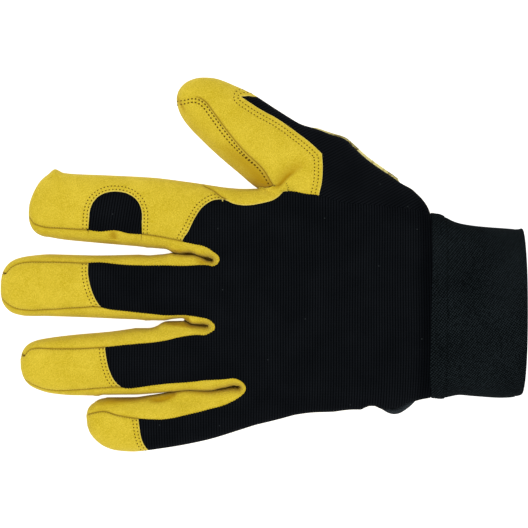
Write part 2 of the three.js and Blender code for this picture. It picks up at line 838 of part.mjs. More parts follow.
// Assembly
const glove = new THREE.Group();
const finishes = {
  leather: { color: COLOURS.leather, roughness: 0.9, metalness: 0 },
  knit: { color: COLOURS.knit, roughness: 0.95, metalness: 0 },
  elastic: { color: COLOURS.elastic, roughness: 0.9, metalness: 0 },
};
Object.entries(panels).forEach(([name, { made, finish }]) => {
  const material = new THREE.MeshStandardMaterial(finishes[finish]);
  const mesh = new THREE.Mesh(geometryOf(made), material);
  mesh.name = name;
  glove.add(mesh);
});
const footprint = new THREE.Box3().setFromObject(glove);
const middleOf = footprint.getCenter(new THREE.Vector3());
glove.position.set(-middleOf.x, -middleOf.y, -footprint.min.z);

export default glove;
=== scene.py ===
"""Dresses the rope access glove: gold suede panels, ribbed knit back, elastic cuff and stitching.

The glove lies palm down with its fingers towards -X. Every panel is a sheet cut along its own
pattern outline in plan and lifted on to one common form, the same tubes of sections that the
solids follow. Lengths are in millimetres in the pattern's frame, whose origin is the middle of
the wrist seam, until a mesh is made.
"""

import logging
import math
from collections.abc import Callable
from dataclasses import dataclass, field
from enum import Enum

import bpy
import numpy as np
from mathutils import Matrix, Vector, noise
from mathutils.bvhtree import BVHTree
from mathutils.geometry import delaunay_2d_cdt
from mathutils.kdtree import KDTree


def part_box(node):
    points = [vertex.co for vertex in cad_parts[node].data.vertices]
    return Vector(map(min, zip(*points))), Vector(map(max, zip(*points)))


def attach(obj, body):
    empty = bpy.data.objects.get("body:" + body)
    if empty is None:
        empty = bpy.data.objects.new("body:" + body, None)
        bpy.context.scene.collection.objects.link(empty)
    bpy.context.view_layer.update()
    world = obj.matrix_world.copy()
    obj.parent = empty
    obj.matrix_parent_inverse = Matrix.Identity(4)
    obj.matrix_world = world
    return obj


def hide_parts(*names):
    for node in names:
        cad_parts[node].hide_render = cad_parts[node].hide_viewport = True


logging.basicConfig(level=logging.INFO, format="%(message)s")
LOG = logging.getLogger("glove")

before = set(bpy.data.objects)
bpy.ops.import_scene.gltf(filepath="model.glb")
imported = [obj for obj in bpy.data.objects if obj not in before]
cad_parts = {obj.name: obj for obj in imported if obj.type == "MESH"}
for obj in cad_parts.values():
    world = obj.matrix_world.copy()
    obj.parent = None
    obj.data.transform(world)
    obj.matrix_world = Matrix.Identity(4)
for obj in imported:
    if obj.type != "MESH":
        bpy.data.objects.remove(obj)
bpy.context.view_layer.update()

Array = np.ndarray
Object = bpy.types.Object
Material = bpy.types.Material
Socket = bpy.types.NodeSocket
Triple = tuple[float, float, float]

WIDEST_LEVEL = 6.0  # height at which every tube is widest
HAND_LENGTH = 99.8
WRIST_WIDTH = 85.1
SEAM_SHADOW = 0.3  # between the palm's edge and the panels above it
CUFF_END = 42.2
NOWHERE = -1
SAME_POINT = 2e-6  # metres between points that are joined
SHARP_FROM = 50.0  # degrees from which an edge is shaded sharp


class Finish(Enum):
    """What a panel is cut from."""

    SUEDE = "gold_leather"
    KNIT = "rib_knit"
    ELASTIC = "cuff_elastic"


class Seam(Enum):
    """How the edges of two neighbouring panels are joined."""

    LAPPED = "leather edge sewn over knit with two rows"
    CLOSED = "two leather edges turned in"
    TURNED = "knit edge turned over leather"
    EASED = "leather band turned over knit"
    BUTTED = "two leather edges that meet almost unseen"
    FLAT = "knit to knit"
    FOLDED = "web folded over the thumb"
    TOPSTITCHED = "turned in and sewn through with two rows"


def table(columns: int, text: str) -> Array:
    """The numbers of a table that is written row after row."""
    return np.array(text.split(), float).reshape(-1, columns)


def shares(names: str, text: str) -> dict[str, Array]:
    """The columns of a table, by their names."""
    columns = names.split()
    return dict(zip(columns, table(len(columns), text).T))


SECTION = "along plus minus top sole"
INDEX = shares(SECTION, """
    -0.22 0.86 0.9 0.86 1  0 0.97 1.05 0.98 1  0.15 1.03 1.02 1 1  0.35 1.08 0.95 0.98 1
    0.6 1.05 0.93 0.96 1  0.78 1.02 0.91 0.93 1  0.825 1.03 0.895 0.9 1
    0.872 1.12 0.87 0.85 0.98  0.905 0.97 0.86 0.79 0.95  0.945 0.76 0.79 0.68 0.85
    0.975 0.46 0.64 0.52 0.65  0.993 0.17 0.42 0.3 0.4  1 0.02 0.2 0 0.05""")
MIDDLE = shares(SECTION, """
    -0.2 0.86 0.92 0.86 1  0 0.95 1.03 0.98 1  0.13 1 0.92 1 1  0.23 1.04 0.92 0.99 1
    0.36 0.99 0.95 0.97 1  0.6 0.93 0.93 0.95 1  0.76 0.93 0.925 0.93 1  0.87 0.86 0.94 0.86 1
    0.93 0.76 0.88 0.76 0.92  0.967 0.6 0.73 0.62 0.75  0.99 0.36 0.5 0.36 0.5
    1 0.1 0.22 0 0.05""")
RING = shares(SECTION, """
    -0.25 0.9 0.95 0.88 1  0 1.03 1 1 1  0.15 1.18 1.05 1 1  0.28 1.17 1.11 1 1
    0.4 1.07 1.14 0.98 1  0.53 0.98 1.14 0.97 1  0.72 0.91 1.11 0.95 1  0.84 0.84 1.02 0.9 1
    0.91 0.77 0.88 0.8 0.93  0.958 0.64 0.7 0.65 0.78  0.986 0.42 0.44 0.4 0.5
    1 0.15 0.15 0 0.05""")
LITTLE = shares(SECTION, """
    -0.3 0.6 0.3 0.85 1  0 0.76 0.72 0.98 1  0.26 0.82 1.02 1 1  0.5 0.85 1.15 1 1
    0.68 0.86 1.19 0.97 1  0.82 0.88 1.08 0.92 1  0.9 0.86 0.88 0.83 0.93
    0.953 0.76 0.6 0.68 0.78  0.985 0.58 0.32 0.42 0.5  1 0.34 0.06 0 0.05""")
THUMB = shares(SECTION, """
    0.06 1 0.92 0.9 1  0.087 1.038 0.928 0.913 1  0.142 1.061 0.943 0.94 1
    0.195 1.118 0.96 0.965 1  0.244 1.192 0.973 0.988 1  0.289 1.246 0.983 1 1
    0.351 1.17 0.99 1 1  0.41 1.11 1 1 1  0.5 1 1 1 1  0.61 1.02 0.9 0.99 1
    0.72 1.05 0.78 0.97 1  0.81 1 0.65 0.93 1  0.875 0.94 0.54 0.86 1  0.93 0.8 0.4 0.74 0.92
    0.967 0.63 0.23 0.58 0.75  0.991 0.42 0.04 0.33 0.45  1 0.26 -0.12 0 0.05""")
HAND = shares("along thenar waist height", """
    0 0 0 0  0.013 0.1 0 0.07  0.036 0.205 0 0.18  0.063 0.288 -0.06 0.29
    0.085 0.346 -0.15 0.38  0.103 0.375 -0.35 0.44  0.123 0.401 -0.62 0.5
    0.143 0.436 -0.87 0.56  0.16 0.471 -0.9 0.62  0.18 0.51 -0.76 0.69  0.21 0.564 -0.54 0.78
    0.234 0.61 -0.15 0.84  0.259 0.657 0.27 0.88  0.275 0.691 0.36 0.91  0.299 0.747 0.28 0.94
    0.322 0.803 0.12 0.97  0.354 0.88 0.29 1  0.392 0.93 0.41 1  0.45 0.86 0.5 1
    0.53 0.6 0.85 0.92  0.61 0.32 1 0.75  0.7 0.12 0.8 0.5  0.85 0.02 0.5 -0.3  1 0 0 -1.7
    1.035 0 0 -3  1.06 0 0 -5""")

# Pattern outlines, as shares of a digit's length along it and of half its width across it
OUTLINE = "along across"
BACK_SEAMS = {
    ("index", "minus"): shares(OUTLINE, """
        0.022 -0.82  0.089 -0.754  0.155 -0.711  0.26 -0.64  0.37 -0.6  0.449 -0.6
        0.503 -0.55  0.54 -0.555  0.6 -0.6  0.661 -0.59  0.803 -0.6  0.918 -0.58  0.963 -0.498
        0.987 -0.34"""),
    ("middle", "plus"): shares(OUTLINE, """
        0.06 0.74  0.1 0.715  0.174 0.69  0.258 0.68  0.344 0.67  0.447 0.69  0.516 0.725
        0.578 0.71  0.69 0.71  0.79 0.7  0.894 0.65  0.942 0.52  0.968 0.32"""),
    ("middle", "minus"): shares(OUTLINE, """
        0.014 -0.87  0.054 -0.815  0.111 -0.77  0.224 -0.78  0.338 -0.725  0.41 -0.68
        0.481 -0.64  0.522 -0.6  0.61 -0.635  0.77 -0.725  0.86 -0.76  0.913 -0.72
        0.953 -0.59  0.983 -0.44"""),
    ("ring", "plus"): shares(OUTLINE, """
        0.028 0.8  0.078 0.805  0.154 0.765  0.248 0.65  0.374 0.575  0.45 0.545  0.548 0.51
        0.7 0.485  0.813 0.505  0.905 0.53  0.945 0.47  0.968 0.29"""),
    ("ring", "minus"): shares(OUTLINE, """
        -0.071 -0.655  0.004 -0.676  0.13 -0.75  0.255 -0.784  0.37 -0.85  0.43 -0.885
        0.5 -0.845  0.57 -0.86  0.684 -0.895  0.8 -0.91  0.872 -0.84  0.931 -0.68  0.97 -0.52"""),
    ("little", "plus"): shares(OUTLINE, """
        0.019 0.48  0.093 0.31  0.2 0.2  0.29 0.115  0.374 0.045  0.493 -0.01  0.57 0.04
        0.654 0.12  0.79 0.32  0.875 0.5  0.93 0.48  0.99 0.4"""),
}
CAP_EDGES = {
    "index": shares(OUTLINE, """
        0.15 -1  0.153 -0.69  0.125 -0.41  0.093 0  0.06 0.3  0.0095 0.515  -0.064 0.6
        -0.0406 0.65  0.0114 0.83  0.0624 0.94  0.1 1.5"""),
    "middle": shares(OUTLINE, """
        0.585 1  0.582 0.68  0.58 0.42  0.569 0.08  0.546 -0.31  0.518 -0.59  0.47 -1"""),
    "ring": shares(OUTLINE, """
        0.55 1  0.549 0.484  0.543 0.143  0.53 -0.25  0.509 -0.58  0.475 -0.84  0.44 -1"""),
    "little": shares(OUTLINE, """
        0.652 0.6  0.652 -0.1  0.641 -0.78  0.62 -1.1  0.6 -1.5"""),
}
THUMB_BACK = shares(OUTLINE, """
    1.08 -0.2  0.985 -0.08  0.955 0.03  0.93 0.16  0.9 0.23  0.869 0.215  0.816 0.08
    0.73 -0.152  0.619 -0.393  0.529 -0.52  0.447 -0.776  0.431 -0.7  0.4125 -0.542
    0.398 -0.611  0.386 -0.69  0.356 -0.62  0.316 -0.535  0.267 -0.4  0.284 -0.07  0.312 0.27
    0.343 0.56  0.39 0.63  0.472 0.705  0.565 0.762  0.663 0.75  0.757 0.78  0.727 0.93
    0.7 1.03  0.69 1.4  1.08 1.4""")
SIDE_PANEL = shares(OUTLINE, """
    0.76 0.6  0.76 1.4  0.2 2  -0.25 1.5  -0.25 0.8  -0.16 0.66  0.044 0.12  0.156 -0.22
    0.267 -0.4  0.36 0.3  0.6 0.6""")
THUMB_ZONE = shares(OUTLINE, """
    0.44 -0.85  0.48 -1.02  0.51 -1.07  0.57 -1.16  0.68 -1.35  1.15 -1.6  1.15 1.6  0.5 1.6
    0.44 0.4""")
PALM_ZONE = shares(OUTLINE, """
    0.452 -0.8  0.506 -1  0.54 -1.03  0.6 -1.11  0.7 -1.25  1.15 -1.6  1.15 1.6  0.5 1.6
    0.44 0.4""")
WEB_INDEX_SIDE = shares(OUTLINE, "0.2 1.5  0.1 0.8  0.02 0.6")
WEB_THUMB_SIDE = shares(OUTLINE, """
    0.372 -0.62  0.385 -0.45  0.43 -0.5  0.449 -0.79  0.506 -1  0.54 -1.03  0.6 -1.11""")

# Lines in plan, in millimetres
WEB_EDGE = table(2, """
    -94.1 48.6  -91.2 46.9  -88 46.1  -83.5 45.85  -77.4 46.75  -72.8 48  -70.1 49.6  -68.6 51
    -67.6 52  -66.8 52.3  -65.4 52.3  -64.2 52.4""")
SLITS = {  # x, y, half a slit's width, and how far the fingers are drawn to its edges, 0 to 1
    "index_middle": table(4, """
        -100.3 20.8 0.3 1  -102 21.3 0.55 1  -104.2 22 0.15 1  -106 22.6 0 1  -107.4 23.05 0 1
        -108.6 23.5 0.12 1  -110.9 23.75 0.36 1  -113.2 23.7 0.12 1  -114.4 23.65 0 1
        -116.6 23.8 0 1  -118.5 24.3 0.02 1  -120.3 24.7 0.69 1  -122.1 24.87 1.13 1
        -125.8 24.87 1.45 1  -128.9 24.85 1.7 0.6  -133.5 25.1 1.7 0  -140 25.4 1.2 0"""),
    "middle_ring": table(4, """
        -102.4 -9.3 0.1 1  -104 -9.2 0.35 1  -106.5 -9 0.25 1  -108.3 -8.83 0.1 1
        -110.2 -8.3 0.05 1  -112.1 -7.3 0.1 1  -113.3 -6.6 0.4 1  -114 -6.5 0.58 1
        -118.3 -6.7 0.44 1  -121.7 -7.1 0.22 1  -123.7 -7.5 0.58 1  -126.1 -8.16 1.27 1
        -128.1 -8.53 1.63 0.95  -130 -8.7 1.7 0.7  -135.9 -8.7 1.7 0  -143 -8.6 1.2 0"""),
    "ring_little": table(4, """
        -87.9 -37.3 0.15 1  -90.2 -37.1 0.3 1  -93 -37.6 0.08 1  -97 -38.3 0 1
        -102.6 -38.9 0 1  -111.2 -38.8 0 1  -116.1 -39.2 0 1  -119.5 -39.7 0 1
        -121.7 -40.1 0.05 1  -126.1 -40.66 0.23 1  -130 -41.1 0.36 1  -135.9 -41.66 0.58 1
        -140.9 -41.7 0.6 1  -148.2 -41.75 0.58 0.9  -150.5 -42 0.8 0.7  -152.5 -42.4 0.65 0.35
        -155 -42.8 0 0"""),
}
CLOSED_BELOW = {"index_middle": 18.4, "middle_ring": 11.5, "ring_little": 8.0}
CROTCHES = {  # round end of the leather behind each slit
    "index_middle": table(2, "-99 24.3  -97.1 22.7  -96.6 21.3  -97.3 19.4  -99.5 18.2  -102.3 18.7"),
    "middle_ring": table(2, "-100.2 -7  -98.7 -8.4  -98.3 -9.6  -99 -11  -100.9 -12.2"),
    "ring_little": table(2, """
        -90.3 -32.7  -87 -33.9  -85.3 -35.5  -84.7 -37.4  -85.3 -39.1  -86.6 -40.5"""),
}
CUFF_PLUS = table(2, """
    0 42.55  4.3 41.9  7.5 40.5  10.8 38.9  15.3 37.6  20.5 36.8  26.9 36.3  36.6 35.5
    40.7 35.2  42.2 35.8""")
CUFF_MINUS = table(2, """
    0 42.3  4.9 42.65  8.8 41.9  13.3 41.2  20.5 41.9  30.2 42.4  36.7 42.2  42.2 41.2""")
LIP_WIDTH = table(2, """
    -55 0  -52 0.6  -45.6 0.85  -39 0.9  -35.3 1.05  -31.4 1.1  -26.9 1.25  -21.9 1.15
    -17.7 1.1  -15.4 1  -13.8 0""")
VENT = (-21.5, -17.5, -11.5, -7.5)  # where the knit's edge begins and ends to give way
VENT_WIDTH = 1.75
THUMB_SEAM = (-109.0, -104.5)  # where the seam on the thumb begins to show, and shows in full
PLAN = np.array(((-166.0, -76.0), (2.0, 100.0)))  # corners of a box round the whole plan
ROW_ROOM = 0.85  # a row's point keeps this share of its distance from every other line
ON_RIM = 1e-4  # a point nearer the silhouette than this lies on it
DIGITS = {  # its turn from the wrist's line in degrees, then its length, width and height
    "index": (INDEX, 4.2, 85.0, 31.7, 18.0),
    "middle": (MIDDLE, 1.6, 97.9, 30.8, 18.5),
    "ring": (RING, -1.8, 88.8, 27.6, 17.5),
    "little": (LITTLE, -5.3, 70.8, 24.3, 16.5),
    "thumb": (THUMB, 30.3, 109.0, 35.4, 20.0),
}


def monotone(knots: Array, values: Array, where: Array) -> Array:
    """A smooth curve through the values that never passes them between two knots.

    Args:
        knots: growing places of the values.
        values: one value for each knot.
        where: the places to read.

    Returns:
        The curve's value at each place.
    """
    step = np.diff(knots)
    slope = np.diff(values) / step
    tangent = np.zeros(len(values))
    same = slope[1:] * slope[:-1] > 0
    first, second = 2 * step[1:] + step[:-1], step[1:] + 2 * step[:-1]
    before = np.where(same, slope[:-1], 1.0)
    after = np.where(same, slope[1:], 1.0)
    tangent[1:-1] = np.where(same, (first + second) / (first / before + second / after), 0.0)
    tangent[0], tangent[-1] = slope[0], slope[-1]
    i = np.clip(np.searchsorted(knots, where, side="right") - 1, 0, len(step) - 1)
    s = np.clip((where - knots[i]) / step[i], 0, 1)
    return (
        values[i] * (1 + 2 * s) * (1 - s) ** 2
        + values[i + 1] * s * s * (3 - 2 * s)
        + step[i] * (tangent[i] * s * (1 - s) ** 2 - tangent[i + 1] * s * s * (1 - s))
    )


def smoothstep(low: float, high: float, value: Array) -> Array:
    """A soft step from 0 at low to 1 at high."""
    s = np.clip((value - low) / (high - low), 0, 1)
    return s * s * (3 - 2 * s)


def fading(away: Array, reach: float) -> Array:
    """A share of 1 on an edge that fades with the distance from it."""
    return np.exp(-away / reach)


def bell(away: Array, width: float) -> Array:
    """A share of 1 on a line that fades to both sides of it."""
    return np.exp(-((away / width) ** 2))


def rolled(away: Array, reach: float, squareness: float = 2.2) -> Array:
    """How far a surface has risen from an edge, 0 at the edge and 1 past a reach."""
    share = np.clip(1 - away / reach, 0, 1)
    return (1 - share**squareness) ** (1 / squareness)


def soft_max(a: Array, b: Array, reach: float) -> Array:
    """The larger of two heights, with the valley between them filled over a reach."""
    k = np.minimum(reach, 0.6 * np.minimum(a, b)) + 1e-6
    h = np.clip(0.5 + 0.5 * (a - b) / k, 0, 1)
    return b + (a - b) * h + k * h * (1 - h)


def lengthways(line: Array) -> Array:
    """How far along a line each of its points lies."""
    return np.concatenate([[0], np.cumsum(np.linalg.norm(np.diff(line, axis=0), axis=1))])


def unit(vectors: Array, least: float = 0.0) -> Array:
    """Vectors made 1 long, or left shorter where they are shorter than the least."""
    return vectors / np.maximum(np.linalg.norm(vectors, axis=1), least)[:, None]


def leftwards(run: Array) -> Array:
    """Directions in plan turned a quarter to the left."""
    return np.stack([-run[:, 1], run[:, 0]], 1)


def ring_pairs(count: int) -> Array:
    """The edges of a closed ring of points, by the points' numbers."""
    here = np.arange(count)
    return np.stack([here, np.roll(here, -1)], 1)


def beside(lines: Array, rows: tuple[float, ...], every: int = 1) -> tuple[Array, Array]:
    """Rows of points on both sides of short lines.

    Args:
        lines: the lines, each as its two ends.
        rows: the rows' distances from them.
        every: takes only every so many lines.

    Returns:
        The points, and each one's distance from its line.
    """
    lines = lines[::every]
    middle = lines.mean(axis=1)
    normal = leftwards(unit(lines[:, 1] - lines[:, 0], 1e-9))
    sets = [middle + side * row * normal for row in rows for side in (-1, 1)]
    return np.concatenate(sets), np.repeat(rows, 2 * len(middle))


def staggered(step: float) -> Array:
    """A grid over the whole plan, with every other row moved by half a step."""
    (left, low), (right, high) = PLAN
    x, y = np.meshgrid(np.arange(left, right, step), np.arange(low, high, step * 0.87))
    x = x + (np.arange(x.shape[0]) % 2)[:, None] * step / 2
    return np.stack([x.ravel(), y.ravel()], 1)


def cut_plan(points: list[Array], edges: list[Array]) -> tuple[Array, Array]:
    """Cuts the plan into triangles.

    Args:
        points: groups of points that become corners.
        edges: groups of edges that the cuts follow, by the points' numbers.

    Returns:
        The corners and the triangles.
    """
    made, _, faces, *_ = delaunay_2d_cdt(
        [Vector(p) for p in np.concatenate(points).tolist()], np.concatenate(edges).tolist(),
        [], 0, 1e-5, False)
    return np.array([tuple(p) for p in made]), np.array([f for f in faces if len(f) == 3])


def spline(points: Array, spacing: float, closed: bool = False, corner: float = 38.0) -> Array:
    """A smooth line through points, with its sharp corners kept.

    Args:
        points: the points in plan.
        spacing: the largest step of the result.
        closed: whether the line returns to its start.
        corner: turning angle in degrees from which a point stays a corner.

    Returns:
        The points of the line, without a repeated end when it is closed.
    """
    ends = len(points)
    at = (lambda i: points[i % ends]) if closed else (lambda i: points[min(max(i, 0), ends - 1)])

    def tangent(i: int) -> Array | None:
        """The line's direction at a point, or None at a corner."""
        into, out = at(i) - at(i - 1), at(i + 1) - at(i)
        a, b = np.linalg.norm(into), np.linalg.norm(out)
        if a < 1e-9 or b < 1e-9:
            return None
        if math.degrees(math.acos(np.clip(into @ out / (a * b), -1, 1))) > corner:
            return None
        mean = into / a * b + out / b * a
        return mean / np.linalg.norm(mean)

    line = []
    for i in range(ends if closed else ends - 1):
        p, q = at(i), at(i + 1)
        span = np.linalg.norm(q - p)
        start, end = tangent(i), tangent(i + 1)
        straight = (q - p) / span
        start = straight if start is None else start
        end = straight if end is None else end
        steps = max(1, math.ceil(span / spacing))
        s = (np.arange(steps) / steps)[:, None]
        line.append(
            p * (1 + 2 * s) * (1 - s) ** 2
            + q * s * s * (3 - 2 * s)
            + span * (start * s * (1 - s) ** 2 - end * s * s * (1 - s))
        )
    if not closed:
        line.append(points[-1:])
    return np.concatenate(line)


def inside_outline(points: Array, outline: Array) -> Array:
    """Which points lie inside a closed outline in plan.

    Args:
        points: the points.
        outline: the outline's points in order.

    Returns:
        True for each point inside.
    """
    x, y = points[:, :1], points[:, 1:]
    ax, ay = outline[:, 0], outline[:, 1]
    bx, by = np.roll(ax, -1), np.roll(ay, -1)
    found = np.zeros(len(points), bool)
    rise = np.where(by == ay, 1.0, by - ay)
    near = ((points > outline.min(axis=0)) & (points < outline.max(axis=0))).all(axis=1)
    near = np.flatnonzero(near)
    near = near[np.argsort(y[near, 0], kind="stable")]
    for part in np.array_split(near, len(near) // 500 + 1):
        if not len(part):
            continue
        low, high = y[part[0], 0], y[part[-1], 0]
        some = (np.maximum(ay, by) >= low) & (np.minimum(ay, by) <= high)
        crossed = (ay[some] > y[part]) != (by[some] > y[part])
        left = x[part] < (bx - ax)[some] * (y[part] - ay[some]) / rise[some] + ax[some]
        found[part] = (crossed & left).sum(axis=1) % 2 == 1
    return found


class Segments:
    """Short pieces of line in plan that tell how far points lie from them."""

    def __init__(self, lines: Array) -> None:
        """Indexes the pieces, each given as its two ends."""
        self.starts, self.ends = lines[:, 0], lines[:, 1]
        self.tree = KDTree(len(lines))
        for i, (x, y) in enumerate(((self.starts + self.ends) / 2).tolist()):
            self.tree.insert((x, y, 0), i)
        self.tree.balance()

    @classmethod
    def along(cls, line: Array) -> "Segments":
        """The pieces of an open line."""
        return cls(np.stack([line[:-1], line[1:]], 1))

    def nearest(self, points: Array) -> tuple[Array, Array]:
        """How far each point lies from the pieces.

        Args:
            points: points in plan.

        Returns:
            Each point's distance, and the number of its nearest piece.
        """
        if not len(self.starts):
            return np.full(len(points), 1e3), np.zeros(len(points), int)
        many = min(4, len(self.starts))
        hits = np.array(
            [[hit[1] for hit in self.tree.find_n((x, y, 0), many)] for x, y in points.tolist()]
        )
        a, b = self.starts[hits], self.ends[hits]
        run = b - a
        size = np.maximum((run**2).sum(-1), 1e-12)
        share = np.clip(((points[:, None] - a) * run).sum(-1) / size, 0, 1)
        away = np.linalg.norm(points[:, None] - a - run * share[..., None], axis=-1)
        best = away.argmin(axis=1)
        rows = np.arange(len(points))
        return away[rows, best], hits[rows, best]


@dataclass
class Tube:
    """A digit or the hand: rounded sections along a straight axis in plan.

    Args:
        root: where its axis starts.
        splay: turn of its axis from the wrist's line, in degrees.
        length: length that the shares along the axis refer to.
        width: width that the shares across it refer to.
        stations: columns along, plus, minus, rise and drop, in millimetres.
        squareness: exponent of the sections above the widest level.
        setback: how far its root lies behind the line of the crotches.
        fade: length over which the tube grows out of the hand.
        sole_squareness: exponent of the sections below the widest level.
        sole_flattening: how much deeper the sole would be if it weren't flat.
        fineness: number of the smooth stations.
    """

    root: Array
    splay: float
    length: float
    width: float
    stations: dict[str, Array]
    squareness: float = 2.3
    setback: float = 0.0
    fade: float = 0.0
    dense: dict[str, Array] = field(init=False)
    sole_squareness: float = 2.6
    sole_flattening: float = 1.35
    fineness: int = 600

    def __post_init__(self) -> None:
        """Works out the axes and the smooth stations."""
        angle = math.radians(self.splay)
        self.towards = np.array((-math.cos(angle), math.sin(angle)))
        self.sideways = np.array((self.towards[1], -self.towards[0]))
        columns = self.stations
        way = lengthways(np.stack([columns[name] for name in ("along", "plus", "minus")], 1))
        fine = np.linspace(0, way[-1], self.fineness)
        self.dense = {name: monotone(way, column, fine) for name, column in columns.items()}

    @classmethod
    def digit(cls, columns: dict[str, Array], root: Array, splay: float, length: float,
              width: float, height: float, setback: float = 0.0, fade: float = 8.0) -> "Tube":
        """A finger or thumb.

        Args:
            columns: its table of shares.
            root: where its axis starts.
            splay: turn of its axis from the wrist's line, in degrees.
            length: length that the shares along the axis refer to.
            width: width that the shares across it refer to.
            height: height that the shares of its top refer to, from the floor.
            setback: how far its root lies behind the line of the crotches.
            fade: length over which it grows out of the hand.

        Returns:
            The finger or thumb.
        """
        stations = {
            "along": columns["along"] * length,
            "plus": columns["plus"] * width / 2,
            "minus": columns["minus"] * width / 2,
            "rise": columns["top"] * (height - WIDEST_LEVEL),
            "drop": columns["sole"] * WIDEST_LEVEL,
        }
        return cls(root, splay, length, width, stations, setback=setback, fade=fade)

    def local(self, points: Array) -> tuple[Array, Array]:
        """How far points lie along the axis and across it."""
        apart = points - self.root
        return apart @ self.towards, apart @ self.sideways

    def place(self, along: Array | float, across: Array | float) -> Array:
        """Points in plan from shares of the length and of half the width."""
        u = np.atleast_1d(np.asarray(along, float)) * self.length
        v = np.atleast_1d(np.asarray(across, float)) * self.width / 2
        return self.root + u[:, None] * self.towards + v[:, None] * self.sideways

    def outline(self, columns: dict[str, Array]) -> Array:
        """A pattern's points from its table."""
        return self.place(columns["along"], columns["across"])

    def edge(self, side: str, reach: float) -> Array:
        """The point on a side at a distance past the line of the crotches."""
        along = (reach + self.setback) / self.length
        columns = self.stations
        across = np.interp(along * self.length, columns["along"], columns[side])
        across *= 1 if side == "plus" else -1
        return self.place(along, across / (self.width / 2))[0]

    def section(self, points: Array) -> tuple[Array, Array, Array, Array]:
        """Where points lie in the sections.

        Args:
            points: points in plan.

        Returns:
            Share of the half width from the section's middle, over 1 outside the tube, the
            section's rise and drop there, and how far along the tube's visible part they are.
        """
        u, v = self.local(points)
        read = {name: np.interp(u, self.dense["along"], column)
                for name, column in self.dense.items()}
        half = np.maximum((read["plus"] + read["minus"]) / 2, 1e-3)
        share = np.abs(v - (read["plus"] - read["minus"]) / 2) / half
        low, high = self.dense["along"][0], self.dense["along"][-1]
        share = np.where((u < low) | (u > high), 9.0, share)
        grown = smoothstep(0, self.fade, u - low) if self.fade else np.ones(len(u))
        return share, read["rise"], read["drop"], grown

    def rise(self, points: Array) -> Array:
        """Height of the tube's top above its widest level, 0 outside it."""
        share, rise, _, grown = self.section(points)
        crown = np.clip(1 - share**self.squareness, 0, 1) ** (1 / self.squareness)
        return rise * crown * grown

    def drop(self, points: Array) -> Array:
        """Depth of the tube's sole below its widest level, 0 outside it."""
        share, _, drop, grown = self.section(points)
        belly = np.clip(1 - share**self.squareness, 0, 1) ** (1 / self.sole_squareness)
        return np.minimum(drop, drop * self.sole_flattening * belly) * grown

    def silhouette(self) -> Array:
        """The tube's closed outline in plan, without its hidden root."""
        dense = self.dense
        plus = self.place(dense["along"] / self.length, dense["plus"] / (self.width / 2))
        minus = self.place(dense["along"] / self.length, -dense["minus"] / (self.width / 2))
        return np.concatenate([plus, minus[::-1]])


def spaced(line: Array, spacing: float, closed: bool = True) -> Array:
    """A line's points taken again at even steps.

    Args:
        line: the line.
        spacing: about how long a step is.
        closed: whether the line returns to its start.

    Returns:
        The new points.
    """
    run = np.concatenate([line, line[:1]]) if closed else line
    way = lengthways(run)
    steps = max(2, round(way[-1] / spacing))
    at = np.linspace(0, way[-1], steps + 1)
    if closed:
        at = at[:-1]
    return np.stack([np.interp(at, way, run[:, i]) for i in (0, 1)], 1)


